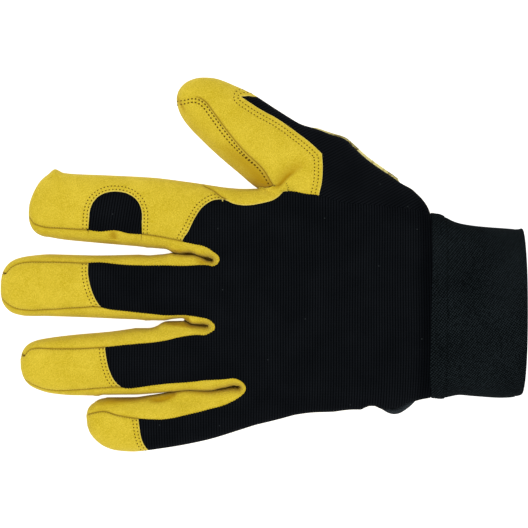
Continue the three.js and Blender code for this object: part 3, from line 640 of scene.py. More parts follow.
@dataclass
class Slot:
    """The slit between two neighbouring fingers, which are drawn together along it.

    Args:
        fingers: the names of the fingers above and below it in plan.
        rows: points of its middle line, from the crotch outwards, with half its width and
            how far the fingers are drawn to its edges.
        closed: length from the crotch over which it is closed from below.
        reach: how deep into a finger the drawing is felt.
        press: how far the drawn fingers would pass into each other where they touch.
        step: step of the points along the middle line.
    """

    fingers: tuple[str, str]
    rows: Array
    closed: float
    reach: float = 6.0
    press: float = 1.3
    step: float = 0.25

    def __post_init__(self) -> None:
        """Smooths the middle line."""
        rows = self.rows
        way = lengthways(rows[:, :2])
        at = np.arange(0, way[-1], self.step)
        self.line = np.stack([monotone(way, rows[:, i], at) for i in (0, 1)], 1)
        self.half = monotone(way, rows[:, 2], at)
        self.held = monotone(way, rows[:, 3], at) * smoothstep(0, 4.0, at)
        self.shut_half = np.where(at < self.closed, 0, self.half)
        self.segments = Segments.along(self.line)
        self.side = -leftwards(unit(np.gradient(self.line, axis=0)))

    def draw(self, tubes: dict[str, Tube]) -> None:
        """Measures how far the two fingers have to be drawn to reach the slit's edges.

        Args:
            tubes: the digits by name.
        """
        steps = np.arange(0, 5, 0.05)
        out = self.half[:, None] + steps
        beyond = 0.3 + self.press * np.exp(-self.half / 0.3) + self.half - self.shut_half
        self.gaps = []
        for name, sign in zip(self.fingers, (1, -1)):
            spots = self.line[:, None] + sign * self.side[:, None] * out[..., None]
            found = tubes[name].section(spots.reshape(-1, 2))[0].reshape(out.shape) < 1
            gap = np.where(found.any(axis=1), steps[found.argmax(axis=1)], 0) + beyond
            gap = np.convolve(np.pad(gap, 8, "edge"), np.full(17, 1 / 17), "valid")
            self.gaps.append(gap * self.held)

    def nearest(self, points: Array) -> tuple[Array, Array]:
        """Where points lie beside the middle line.

        Args:
            points: points in plan.

        Returns:
            Their distance from the line, long far from it, and its nearest piece.
        """
        reach = self.reach + 3.0
        near = ((points > self.line.min(axis=0) - reach)
                & (points < self.line.max(axis=0) + reach)).all(axis=1)
        far, piece = np.full(len(points), 99.0), np.zeros(len(points), int)
        if near.any():
            far[near], piece[near] = self.segments.nearest(points[near])
        return far, piece

    def away(self, points: Array, shut: bool = False) -> Array:
        """Distance of points from the slit's edge, below 0 inside it and long far from it."""
        far, piece = self.nearest(points)
        return self.past_edge(far, piece, self.shut_half if shut else self.half)

    @staticmethod
    def past_edge(far: Array, piece: Array, half: Array) -> Array:
        """Distances from the slit's edge, from those from its middle line."""
        return far - (half[piece] + half[piece + 1]) / 2

    def pull(self, points: Array, finger: str = "") -> Array:
        """How far points move to find the fingers as they were before they were drawn.

        Args:
            points: points in plan.
            finger: the finger that the points belong to, where their side doesn't tell.

        Returns:
            Each point's move in plan.
        """
        if finger and finger not in self.fingers:
            return np.zeros_like(points)
        far, piece = self.nearest(points)
        side = self.side[piece]
        above = ((points - self.line[piece]) * side).sum(axis=1) > 0
        away = self.past_edge(far, piece, self.half)
        if finger:
            mine = np.full(len(points), finger == self.fingers[0])
            away = np.where(above == mine, away, 0)
            above = mine
        gap = np.where(above, self.gaps[0][piece], self.gaps[1][piece])
        gap = gap * (1 - smoothstep(0, self.reach, away))
        return np.where(above, gap, -gap)[:, None] * side

    def shade(self, points: Array) -> Array:
        """How much painted shade the leather gets at the bottom of the slit, where it is closed from
        below, from 0 to 1.
        """
        far, piece = self.nearest(points)
        return bell(far, 1.2) * (piece * self.step < self.closed)

    def ribbon(self, half: Array) -> Array:
        """A closed outline at a distance on both sides of the middle line."""
        side = self.side * half[:, None]
        return np.concatenate([(self.line - side)[::-1], self.line + side])


@dataclass
class GloveForm:
    """The common form of every panel: the hand, four fingers, the thumb and three slits.

    Args:
        crotch_gap: width of the slits between the fingers.
        middle_offset: from the wrist's middle to the middle finger's axis.
        little_setback: from the other crotches to the little finger's root.
        thenar_bulge: how far the base of the thumb stands out.
        waist_depth: how far the little finger's side draws in.
        thumb_reach: from the wrist seam to the start of the thumb's axis.
        thumb_fade: length over which the thumb grows out of the hand.
        hand_height: height over the knuckles.
        wrist_height: height at the wrist seam.
        valley: how far the valleys between the hand and its digits are filled.
    """

    crotch_gap: float = 1.2
    middle_offset: float = 7.2
    little_setback: float = 12.4
    thenar_bulge: float = 29.0
    waist_depth: float = 3.4
    thumb_reach: float = 23.0
    thumb_fade: float = 14.0
    hand_height: float = 25.0
    wrist_height: float = 22.5
    valley: float = 3.0
    tubes: dict[str, Tube] = field(init=False)
    slots: dict[str, Slot] = field(init=False)

    def __post_init__(self) -> None:
        """Places the fingers side by side and builds the hand between them and the wrist."""
        def half(name: str, side: str) -> float:
            """Half the width of a finger at its root."""
            columns, _, _, width, _ = DIGITS[name]
            return width / 2 * float(np.interp(0, columns["along"], columns[side]))

        gap, middle = self.crotch_gap, self.middle_offset
        index = middle + half("index", "minus") + gap + half("middle", "plus")
        ring = middle - half("middle", "minus") - gap - half("ring", "plus")
        little = ring - half("ring", "minus") - gap - half("little", "plus")
        roots = {"index": (0, index), "middle": (0, middle), "ring": (0, ring),
                 "little": (self.little_setback, little)}
        self.tubes = {}
        for name, (columns, *sizes) in DIGITS.items():
            if name in roots:
                setback, side = roots[name]
                root = np.array((setback - HAND_LENGTH, side))
                self.tubes[name] = Tube.digit(columns, root, *sizes, setback)
            else:
                root = np.array((-self.thumb_reach, WRIST_WIDTH / 2 - 1))
                self.tubes[name] = Tube.digit(columns, root, *sizes, fade=self.thumb_fade)
        knuckle_plus = self.tubes["index"].edge("plus", 0)[1]
        knuckle_minus = -self.tubes["little"].edge("minus", 0)[1]
        along = HAND["along"]
        rise = (self.wrist_height - WIDEST_LEVEL
                + (self.hand_height - self.wrist_height) * HAND["height"])
        wrist = WRIST_WIDTH / 2
        stations = {
            "along": along * HAND_LENGTH,
            "plus": wrist + (knuckle_plus - wrist) * along + self.thenar_bulge * HAND["thenar"],
            "minus": wrist + (knuckle_minus - wrist) * along - self.waist_depth * HAND["waist"],
            "rise": rise,
            "drop": np.full(len(along), WIDEST_LEVEL),
        }
        self.hand = Tube(np.zeros(2), 0.0, HAND_LENGTH, 2.0, stations, squareness=2.5)
        self.slots = {name: Slot(tuple(name.split("_")), rows, CLOSED_BELOW[name])
                      for name, rows in SLITS.items()}
        for slot in self.slots.values():
            slot.draw(self.tubes)

    def from_slots(self, points: Array, shut: bool = False) -> Array:
        """Distance of points from the nearest slit's edge."""
        return np.minimum.reduce([slot.away(points, shut) for slot in self.slots.values()])

    def undrawn(self, points: Array, finger: str = "") -> Array:
        """Where points lie on the fingers as they were before they were drawn together."""
        return points + sum(slot.pull(points, finger) for slot in self.slots.values())

    def drawn(self, points: Array, finger: str) -> Array:
        """Where points of a finger's own outline end up when it is drawn to the slits."""
        moved = points
        for _ in range(15):
            moved = points + moved - self.undrawn(moved, finger)
        return moved

    def inside(self, points: Array, shut: bool = False) -> Array:
        """Which points lie on the glove, seen from above."""
        found = self.hand.section(points)[0] < 1
        undrawn = self.undrawn(points)
        for tube in self.tubes.values():
            found |= tube.section(undrawn)[0] < 1
        return found & (self.from_slots(points, shut) > 0)

    def top(self, points: Array) -> Array:
        """Height of the form's upper surface."""
        away = self.from_slots(points)
        undrawn = self.undrawn(points)
        height = self.hand.rise(points) * rolled(away, 4.4)
        tight = rolled(away, 1.6)
        for tube in self.tubes.values():
            height = soft_max(height, tube.rise(undrawn) * tight, self.valley)
        return WIDEST_LEVEL + height

    def sole(self, points: Array) -> Array:
        """Height of the form's lower surface, 0 where it lies flat."""
        depth = self.hand.drop(points)
        undrawn = self.undrawn(points)
        for tube in self.tubes.values():
            depth = np.maximum(depth, tube.drop(undrawn))
        return WIDEST_LEVEL - depth * rolled(self.from_slots(points, True), 3.0)

    def outlines(self, spacing: float, shut: bool = False) -> list[tuple[Array, Array]]:
        """The silhouettes of the tubes and the slits.

        Args:
            spacing: step of the points along them.
            shut: whether the slits are taken as they are from below.

        Returns:
            Each closed line, and which of its edges aren't deep inside other tubes.
        """
        lines = []
        everything = {"hand": self.hand, **self.tubes}
        for name, tube in everything.items():
            line = self.drawn(spaced(tube.silhouette(), spacing), name)
            deep = self.from_slots(line, shut) < 0.05
            undrawn = self.undrawn(line)
            for other, form in everything.items():
                if other != name:
                    deep |= form.rise(line if other == "hand" else undrawn) > 3.0
            lines.append((line, ~(deep & np.roll(deep, -1))))
        for slot in self.slots.values():
            line = slot.ribbon(slot.shut_half if shut else slot.half)
            lines.append((line, np.ones(len(line), bool)))
        return lines

    def rims(self, spacing: float,
             shut: bool = False) -> tuple[list[Array], list[Array], Array]:
        """What is kept of the outlines.

        Args:
            spacing: step of the points along them.
            shut: whether the slits are taken as they are from below.

        Returns:
            The outlines' points, their edges by number, and the edges as pairs of ends.
        """
        points, edges, rims, count = [], [], [], 0
        for line, kept in self.outlines(spacing, shut):
            pairs = ring_pairs(len(line))[kept]
            used = np.unique(pairs)
            again = np.full(len(line), -1)
            again[used] = np.arange(len(used)) + count
            points.append(line[used])
            edges.append(again[pairs])
            rims.append(line[pairs])
            count += len(used)
        return points, edges, np.concatenate(rims)


@dataclass(frozen=True)
class Panel:
    """One cut piece of the glove.

    Args:
        name: the panel's name, which is its solid's too.
        finish: what it is cut from.
        level: how far its face stands proud of the common form.
        wall: its thickness.
        bulge: how far it swells between its edges.
        rib_angle: turn of its ribs from the glove's width, in degrees.
    """

    name: str
    finish: Finish
    level: float = 0.0
    wall: float = 1.2
    bulge: float = 0.0
    rib_angle: float = 0.0


PANELS = (
    *(Panel(f"{name}_gusset", Finish.SUEDE, bulge=0.5) for name in SLITS),
    Panel("index_knuckle_panel", Finish.KNIT, -0.05, 1.0, rib_angle=-9.0),
    *(Panel(f"{name}_cap", Finish.SUEDE, 0.5) for name in CAP_EDGES),
    Panel("thumb_back", Finish.SUEDE, 0.5),
    Panel("thumb_side_panel", Finish.KNIT, 0.0, 1.0, rib_angle=-62.0),
    Panel("thumb_web", Finish.SUEDE, 0.5, bulge=0.25),
    Panel("thumb_front", Finish.SUEDE, 0.0),
    Panel("back_panel", Finish.KNIT, 0.0, 1.0),
)
PALM = Panel("palm_panel", Finish.SUEDE, 0.0, 1.3)
NUMBER = {panel.name: i for i, panel in enumerate(PANELS)}
GUSSETS = {NUMBER[f"{name}_gusset"] for name in SLITS}


def seam_between(one: int, other: int) -> Seam | None:
    """The seam that joins two panels.

    Args:
        one: the first panel's number, or NOWHERE.
        other: the second panel's number, or NOWHERE.

    Returns:
        The seam, or None on the glove's silhouette.
    """
    if NOWHERE in (one, other):
        return None
    names = {PANELS[one].name, PANELS[other].name}
    knits = sum(PANELS[i].finish is Finish.KNIT for i in (one, other))
    if knits == 2:
        return Seam.FLAT
    if knits == 1:
        if {one, other} & GUSSETS or names == {"thumb_back", "back_panel"}:
            return Seam.TURNED
        return Seam.EASED if "thumb_web" in names else Seam.LAPPED
    if names == {"thumb_front", "thumb_web"}:
        return Seam.FOLDED
    if names == {"thumb_front", "thumb_back"}:
        return Seam.TOPSTITCHED
    return Seam.BUTTED if names == {"thumb_back", "thumb_web"} else Seam.CLOSED


@dataclass(frozen=True)
class Crease:
    """A soft fold in the leather with painted shade along it; one of no depth is painted shade only.

    Args:
        line: its points in plan, as the text of a table.
        depth: how deep its valley is, below 0 for a ridge.
        width: how far it spreads to each side.
        shade_tint: how much painted shade, darker and warmer, it lays on the leather.
        lean: how much further it spreads to its left than to its right.
    """

    line: str
    depth: float
    width: float
    shade_tint: float = 0.5
    lean: float = 1.0

    def share(self, plan: Array) -> Array:
        """How deep in the crease points are.

        Args:
            plan: the points.

        Returns:
            Each point's share, from 0 to 1.
        """
        line = spline(table(2, self.line), 0.5, corner=180)
        reach = 2.5 * self.width * max(1.0, self.lean)
        near = ((plan > line.min(axis=0) - reach) & (plan < line.max(axis=0) + reach)).all(axis=1)
        result = np.zeros(len(plan))
        if near.any():
            far, piece = Segments.along(line).nearest(plan[near])
            run = line[piece + 1] - line[piece]
            apart = plan[near] - line[piece]
            left = run[:, 0] * apart[:, 1] - run[:, 1] * apart[:, 0] > 0
            ease = np.sin(np.pi * np.clip((piece + 0.5) / (len(line) - 1), 0, 1)) ** 0.5
            width = np.where(left, self.width * self.lean, self.width)
            result[near] = ease * bell(far, width)
        return result


# Creases dent the leather and lay painted shade along it; those of depth 0 are painted shade only.
CREASES = (
    Crease("""
        -72.2 53.9  -70.3 54.4  -68.9 55.8  -66.2 58.8  -63.4 60.8  -60.8 62.6  -57.8 64.2""",
           1.2, 1.1, 0.6, 2.8),
    Crease("-72.3 53.6  -70.2 54.2  -68.5 55.5  -65.8 58.3  -63 60.5", 0.4, 0.55, 0.7, 1.5),
    Crease("-112.8 -5  -111.4 -6  -110 -7.6", 0.3, 0.9, 1.0),
    Crease("-152 -45.2  -146 -43.9  -138 -43.1  -129 -42.5", 0.0, 1.4, 0.9),
    Crease("-145.9 33.8  -144.9 31.9  -143.7 30", 0.6, 1.7, 0.85),
    Crease("-153 29.4  -148.5 28.5  -143 28.5", 0.0, 1.1, 0.5),
    Crease("-129.5 -43.1  -124 -42.8  -120.4 -41.9  -118.1 -40.9  -116 -39.5", 0.9, 1.3, 1.2),
    Crease("-108 -40  -102 -39.6  -97 -39.2", 0.3, 0.9, 0.4),
    Crease("-119.5 25.4  -117 25.1  -113.5 24.6", 0.3, 1.0, 0.6),
    Crease("-107 20.8  -104.8 19.9  -103 19.4", 0.4, 0.9, 0.6),
    Crease("-121.5 -8.1  -116 -8.6  -111.5 -9  -107 -10.2", 0.4, 0.9, 1.1),
    Crease("-116.4 96.5  -115.3 94  -113.8 91  -112.3 88", 0.25, 0.6, 0.8),
    Crease("-96.5 74  -84 64  -76 56.5", 0.0, 2.6, 0.4),
)


@dataclass
class Pattern:
    """The plan of the panels above the widest level: outlines, triangles and seams.

    Args:
        form: the common form.
        edge_step: step of the points along outlines.
        silhouette_rows: distances of the rows of points beside the silhouette.
        leather_rows: distances of the rows of points beside seams in leather.
        knit_rows: the same in knit.
        leather_step: step of the points in leather far from seams.
        rib_pitch: from one rib of the knit to the next.
        course_step: step of the points along a rib.
    """

    form: GloveForm
    edge_step: float = 0.3
    silhouette_rows: tuple[float, ...] = (0.03, 0.12, 0.35, 0.8, 1.5, 2.4)
    leather_rows: tuple[float, ...] = (0.28, 0.5, 0.8, 1.15, 1.6, 2.3, 3.0, 3.5)
    knit_rows: tuple[float, ...] = (0.35, 0.8)
    leather_step: float = 0.85
    rib_pitch: float = 1.2
    course_step: float = 1.7

    def __post_init__(self) -> None:
        """Draws the outlines, and cuts the plan into the panels' triangles."""
        self.shapes = self.draw_shapes()
        self.points, self.faces, self.owner = self.triangulate()
        self.find_borders()

    def draw_shapes(self) -> list[tuple[int, Array]]:
        """Draws the panels' outlines.

        Returns:
            Each panel's number and outline in order of precedence, all but the back's.
        """
        tubes, step = self.form.tubes, self.edge_step
        shapes = []
        for name in self.form.slots:
            upper, lower = name.split("_")
            first = tubes[upper].outline(BACK_SEAMS[upper, "minus"])
            last = tubes[lower].outline(BACK_SEAMS[lower, "plus"])
            run = spline(np.concatenate([first[::-1], CROTCHES[name], last]), step, corner=60)
            ends = [self.past(tubes[upper], BACK_SEAMS[upper, "minus"]["across"][-1]),
                    self.past(tubes[lower], BACK_SEAMS[lower, "plus"]["across"][-1])]
            shapes.append((NUMBER[f"{name}_gusset"], np.concatenate([ends[0], run, ends[1]])))
        shapes.append((NUMBER["index_knuckle_panel"], self.window()))
        for name, edge in CAP_EDGES.items():
            tube = tubes[name]
            run = spline(tube.outline(edge), step)
            shapes.append((NUMBER[f"{name}_cap"], np.concatenate(
                [run, self.past(tube, edge["across"][-1]), self.past(tube, edge["across"][0])])))
        thumb = tubes["thumb"]
        for name, edge in (("thumb_back", THUMB_BACK), ("thumb_side_panel", SIDE_PANEL),
                           ("thumb_web", None), ("thumb_front", THUMB_ZONE)):
            shapes.append((NUMBER[name], self.web() if edge is None else spline(
                thumb.outline(edge), step, True)))
        return shapes

    @staticmethod
    def past(tube: Tube, across: float) -> Array:
        """A point beyond a tube's tip."""
        return tube.place(1 + 4 / tube.length, across)

    def window(self) -> Array:
        """The arch of knit over the index knuckle, standing on the gusset's seam."""
        index = self.form.tubes["index"]
        turn = np.linspace(0, np.pi, 90)
        side = np.sign(np.cos(turn)) * np.abs(np.cos(turn)) ** 0.9
        arch = index.place(0.515 + 0.143 * side, -0.2 + 0.78 * np.sin(turn) ** 0.85)
        foot = index.place((0.515 + 0.143, 0.515 - 0.143), (-0.8, -0.8))
        return np.concatenate([foot[:1], arch, foot[1:]])

    def web(self) -> Array:
        """The band between the index cap and the foot of the thumb's seam."""
        index, thumb = self.form.tubes["index"], self.form.tubes["thumb"]
        side = spline(thumb.outline(WEB_THUMB_SIDE), self.edge_step)
        edge = spline(WEB_EDGE, self.edge_step)
        return np.concatenate([index.outline(WEB_INDEX_SIDE), edge, side])

    def panel_at(self, points: Array) -> Array:
        """Which panel lies at each point.

        Args:
            points: points in plan.

        Returns:
            The panels' numbers, NOWHERE off the glove.
        """
        owner = np.full(len(points), NUMBER["back_panel"])
        free = np.ones(len(points), bool)
        for number, outline in self.shapes:
            found = inside_outline(points, outline) & free
            owner[found] = number
            free &= ~found
        owner[~self.form.inside(points)] = NOWHERE
        return owner

    def triangulate(self) -> tuple[Array, Array, Array]:
        """Cuts the plan into triangles that follow every outline.

        Returns:
            The points, the triangles, and each triangle's panel.
        """
        points, edges, rims = self.form.rims(self.edge_step)
        seams = []
        for _, line in self.shapes:
            pairs = ring_pairs(len(line))
            edges.append(pairs + sum(map(len, points)))
            points.append(line)
            seams.append(line[pairs])
        points += self.fillers(rims, np.concatenate(seams))
        made, faces = cut_plan(points, edges)
        owner = self.panel_at(made[faces].mean(axis=1))
        self.absorb_specks(made, faces, owner)
        return made, faces, owner

    def fillers(self, rims: Array, seams: Array) -> list[Array]:
        """Points between the outlines: rows beside them, ribs in the knit, a grid in leather.

        Args:
            rims: the silhouette's edges, each as its two ends.
            seams: the same for the panels' outlines.

        Returns:
            Groups of points.
        """
        rim_line, seam_line = Segments(rims), Segments(seams)
        found = []
        knits = np.array([panel.finish is Finish.KNIT for panel in PANELS])

        def keep(points: Array, from_rim: Array | float, from_seam: Array | float,
                 knit: bool | None = None) -> Array:
            """The points on the glove that are far enough from the outlines."""
            owner = self.panel_at(points)
            ok = owner != NOWHERE
            if knit is not None:
                ok &= knits[owner] == knit
            ok &= rim_line.nearest(points)[0] > from_rim
            ok &= seam_line.nearest(points)[0] > from_seam
            return ok

        row, far = beside(rims, self.silhouette_rows)
        found.append(row[keep(row, ROW_ROOM * far, 0.15)])
        row, far = beside(seams, self.leather_rows, 2)
        found.append(row[keep(row, 0.2, ROW_ROOM * far, False)])
        row, far = beside(seams, self.knit_rows)
        found.append(row[keep(row, 0.2, ROW_ROOM * far, True)])
        low, high = PLAN
        reach = 140.0
        for number in np.flatnonzero(knits):
            across, along = self.rib_axes(PANELS[number])
            u, v = np.meshgrid(np.arange(-reach, reach, self.rib_pitch / 4),
                               np.arange(-reach, reach, self.course_step))
            v = v + (np.arange(u.shape[1]) % 2) * self.course_step / 2
            points = (low + high) / 2 + u.reshape(-1, 1) * across + v.reshape(-1, 1) * along
            points = points[((points > low) & (points < high)).all(axis=1)]
            points = points[self.panel_at(points) == number]
            ok = (rim_line.nearest(points)[0] > 2.6) & (seam_line.nearest(points)[0] > 0.95)
            found.append(points[ok])
        points = staggered(self.leather_step)
        far_in = keep(points, 2.6, 3.9, False)
        found.append(points[far_in])
        found.append(points[keep(points, 0.45, 0.45, False) & ~far_in][::2])
        return found

    @staticmethod
    def rib_axes(panel: Panel) -> tuple[Array, Array]:
        """The directions across a knit panel's ribs and along them."""
        turn = math.radians(panel.rib_angle)
        across = np.array((math.cos(turn), math.sin(turn)))
        return across, np.array((-across[1], across[0]))

    @staticmethod
    def edge_table(faces: Array) -> tuple[Array, Array, Array]:
        """The edges of triangles.

        Args:
            faces: the triangles.

        Returns:
            The edges in each triangle's direction, their triangles, and for each the triangle
            on its other side, or NOWHERE.
        """
        edges = np.concatenate([faces[:, (0, 1)], faces[:, (1, 2)], faces[:, (2, 0)]])
        mine = np.tile(np.arange(len(faces)), 3)
        key = np.sort(edges, axis=1)
        key = key[:, 0] * (faces.max() + 1) + key[:, 1]
        order = np.argsort(key, kind="stable")
        other = np.full(len(edges), NOWHERE)
        twin = key[order][1:] == key[order][:-1]
        a, b = order[:-1][twin], order[1:][twin]
        other[a], other[b] = mine[b], mine[a]
        return edges, mine, other

    def absorb_specks(self, points: Array, faces: Array, owner: Array, least: float = 3.0) -> None:
        """Gives each speck of a panel, cut off from the rest, to the panel beside it.

        Args:
            points: corners of the plan's triangles.
            faces: the triangles.
            owner: each triangle's panel, which is changed in place.
            least: area under which a piece is a speck, in square millimetres.
        """
        _, mine, other = self.edge_table(faces)
        a, b, c = (points[faces[:, i]] for i in range(3))
        area = np.abs(np.cross(b - a, c - a)) / 2
        for _ in range(2):
            group = np.arange(len(faces))
            joined = (other != NOWHERE) & (owner[mine] == owner[np.maximum(other, 0)])
            one, two = mine[joined], other[joined]
            while True:
                before = group.copy()
                np.minimum.at(group, one, group[two])
                group = group[group]
                if (group == before).all():
                    break
            total = np.bincount(group, area, len(faces))[group]
            small = (total < least) & (owner != NOWHERE)
            for face in np.flatnonzero(small):
                beside = other[(mine == face) & (other != NOWHERE)]
                choices = [owner[i] for i in beside if total[i] >= least]
                if choices:
                    owner[face] = max(choices)

    def find_borders(self) -> None:
        """Collects the seams' edges, by the pair of panels that they join."""
        edges, mine, other = self.edge_table(self.faces)
        here = self.owner[mine]
        there = np.where(other == NOWHERE, NOWHERE, self.owner[np.maximum(other, 0)])
        on_border = (here != there) & (here != NOWHERE)
        self.borders: dict[tuple[int, int], Array] = {}
        for one, two in sorted(set(zip(here[on_border].tolist(), there[on_border].tolist()))):
            self.borders[one, two] = edges[on_border & (here == one) & (there == two)]

    def chains(self, one: int, two: int) -> list[Array]:
        """The seam of two panels, followed from point to point.

        Args:
            one: the panel on its left.
            two: the panel on its right.

        Returns:
            The seam's separate lines.
        """
        following = {int(a): int(b) for a, b in self.borders.get((one, two), np.zeros((0, 2)))}
        starts = set(following) - set(following.values())
        lines = []
        for start in sorted(starts) or list(following)[:1]:
            line = [start]
            while line[-1] in following and following[line[-1]] != start:
                line.append(following[line[-1]])
            lines.append(self.points[line])
        return lines


@dataclass(frozen=True)
class Relief:
    """How the panels' faces depart from the common form beside their seams.

    Args:
        groove: depth of a closed leather seam.
        groove_width: how far from it the groove spreads.
        cut_drop: rounding of a cut leather edge.
        cut_width: how far from it the rounding spreads.
        row_depth: depth of the dents under the rows of stitches.
        row_width: how far from a row its dent spreads.
        rows: distances of the two rows of stitches from a lapped edge.
        thumb_rows: the same for the back of the thumb.
        rib: height of the knit's ribs.
        knit_turn: depth of a turned knit edge.
        fold_depth: depth of the fold beside the thumb's web.
    """

    groove: float = 0.42
    groove_width: float = 0.55
    cut_drop: float = 0.28
    cut_width: float = 0.18
    row_depth: float = 0.17
    row_width: float = 0.32
    rows: tuple[float, float] = (0.9, 2.5)
    thumb_rows: tuple[float, float] = (1.7, 3.5)
    rib: float = 0.15
    knit_turn: float = 0.3
    fold_depth: float = 0.6

    def rows_of(self, panel: str) -> tuple[float, float]:
        """How far a panel's two rows of stitches lie from its edge."""
        return self.thumb_rows if panel == "thumb_back" else self.rows

    def stitched(self, panel: str, away: Array) -> Array:
        """The dents under two rows of stitches, by the distance from the edge."""
        return -self.row_depth * sum(bell(away - row, self.row_width)
                                     for row in self.rows_of(panel))

    def leather(self, panel: Panel, away: dict[Seam, Array], ease: Array) -> Array:
        """The relief of a leather panel.

        Args:
            panel: the panel.
            away: distances of its points from each kind of seam.
            ease: how much of the thumb's seam shows, from 0 to 1.

        Returns:
            Each point's height above the common form.
        """
        height = np.full(len(ease), panel.level)
        lapped, folded = away[Seam.LAPPED], away[Seam.FOLDED]
        drops = [self.cut_drop * fading(lapped, self.cut_width),
                 (panel.level + 0.2) * fading(away[Seam.TURNED], 0.7)]
        for seam in (Seam.CLOSED, Seam.TOPSTITCHED):
            depth = self.groove * (ease if seam is Seam.TOPSTITCHED else 1.0)
            drops.append((depth + panel.level) * fading(away[seam], self.groove_width))
        height -= np.maximum.reduce(drops)
        height += self.stitched(panel.name, lapped)
        if panel.name == "thumb_front":
            height += self.stitched(panel.name, away[Seam.TOPSTITCHED])
            height -= self.fold_depth * fading(folded, 1.8)
        if panel.name == "thumb_web":
            height += 0.25 * fading(folded, 2.5)
            height -= 0.5 * fading(folded, 0.35)
        height -= self.cut_drop * fading(away[Seam.EASED], 0.4)
        height -= 0.1 * fading(away[Seam.BUTTED], 0.5)
        nearest = np.minimum.reduce([away[seam] for seam in Seam])
        return height + panel.bulge * (1 - fading(nearest, 1.6))

    def knit(self, panel: Panel, away: dict[Seam, Array], ribs: Array) -> Array:
        """The relief of a knit panel.

        Args:
            panel: the panel.
            away: distances of its points from each kind of seam.
            ribs: the phase of its ribs at its points.

        Returns:
            Each point's height above the common form.
        """
        height = np.full(len(ribs), panel.level)
        height += self.rib * (np.abs(np.cos(np.pi * ribs)) ** 0.8 - 0.5)
        height -= 0.3 * fading(away[Seam.EASED], 1.0)
        height += 0.12 - np.maximum(0.3 * fading(away[Seam.LAPPED], 1.2),
                                    self.knit_turn * fading(away[Seam.TURNED], 0.3))
        return height - 0.35 * fading(away[Seam.FLAT], 0.6)


def vertex_normals(points: Array, faces: Array) -> Array:
    """Unit normals at the points of a surface of triangles."""
    a, b, c = (points[faces[:, i]] for i in range(3))
    face = np.cross(b - a, c - a)
    total = np.zeros_like(points)
    for i in range(3):
        np.add.at(total, faces[:, i], face)
    return unit(total, 1e-12)


def ring_faces(count: int, around: int) -> Array:
    """The four-sided faces between rings of points, each ring as many points around."""
    grid = np.arange(count * around).reshape(count, around)
    after = np.roll(grid, -1, axis=1)
    return np.stack([grid[:-1], grid[1:], after[1:], after[:-1]], -1).reshape(-1, 4)


def rumple(points: Array, size: float, height: float, seed: float = 0.0) -> Array:
    """Slow waves in the cloth, by the place in plan."""
    return np.array([height * noise.noise(Vector((x / size, y / size, seed)))
                     for x, y in points.tolist()])


class Workshop:
    """Turns plans in millimetres into the objects of the scene."""

    def __init__(self) -> None:
        """Finds the pattern's origin in the row frame from the cuff's solid."""
        low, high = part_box("wrist_cuff")
        self.origin = np.array((high.x - CUFF_END / 1000, (low.y + high.y) / 2, 0.0))

    def to_row(self, points: Array) -> Array:
        """Points of the pattern's frame in metres in the row frame."""
        return points / 1000 + self.origin

    def mesh(self, name: str, points: Array, faces: list | Array,
             attributes: dict[str, Array] | None = None) -> Object:
        """An object from points in the pattern's frame.

        Args:
            name: the object's name.
            points: points in millimetres.
            faces: corners of each face.
            attributes: numbers for each point, for its material.

        Returns:
            The new object, which is selected and active.
        """
        data = bpy.data.meshes.new(name)
        rows = faces.tolist() if isinstance(faces, np.ndarray) else faces
        data.from_pydata(self.to_row(points).tolist(), [], rows)
        for key, values in (attributes or {}).items():
            layer = data.attributes.new(key, "FLOAT", "POINT")
            layer.data.foreach_set("value", np.asarray(values, np.float32))
        data.update()
        piece = bpy.data.objects.new(name, data)
        bpy.context.scene.collection.objects.link(piece)
        self.only(piece)
        return piece

    @staticmethod
    def only(piece: Object) -> None:
        """Selects one object and nothing else."""
        bpy.ops.object.select_all(action="DESELECT")
        piece.select_set(True)
        bpy.context.view_layer.objects.active = piece

    def thicken(self, piece: Object, wall: float) -> None:
        """Gives a sheet its thickness, inwards."""
        self.only(piece)
        solid = piece.modifiers.new("wall", "SOLIDIFY")
        solid.thickness = wall / 1000
        solid.offset = -1
        solid.use_rim = True
        bpy.ops.object.modifier_apply(modifier=solid.name)

    def soften(self, piece: Object) -> None:
        """Shades a piece smooth but for its sharp edges."""
        self.only(piece)
        bpy.ops.object.shade_smooth_by_angle(angle=math.radians(SHARP_FROM))

    @staticmethod
    def edit(step: Callable[..., object], **settings: object) -> None:
        """Takes one step of mesh editing on the whole active piece."""
        bpy.ops.object.mode_set(mode="EDIT")
        bpy.ops.mesh.select_all(action="SELECT")
        step(**settings)
        bpy.ops.object.mode_set(mode="OBJECT")

    def dress(self, piece: Object, material: Material, slot: str,
              *nodes: str) -> None:
        """Gives a finished piece its material, hangs it under the root body and hides the solids that
        it stands for.

        Args:
            piece: the piece.
            material: its material.
            slot: not used.
            nodes: the solids that it stands for.
        """
        piece.data.materials.clear()
        piece.data.materials.append(material)
        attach(piece, "root")
        if nodes:
            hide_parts(*nodes)
        LOG.info("%s: %d faces", piece.name, len(piece.data.polygons))

    def cloth(self, piece: Object, wall: float, material: Material,
              finish: Finish, node: str) -> None:
        """Makes a sheet the finished cloth that stands for a solid."""
        self.thicken(piece, wall)
        self.soften(piece)
        self.dress(piece, material, finish.value, node)


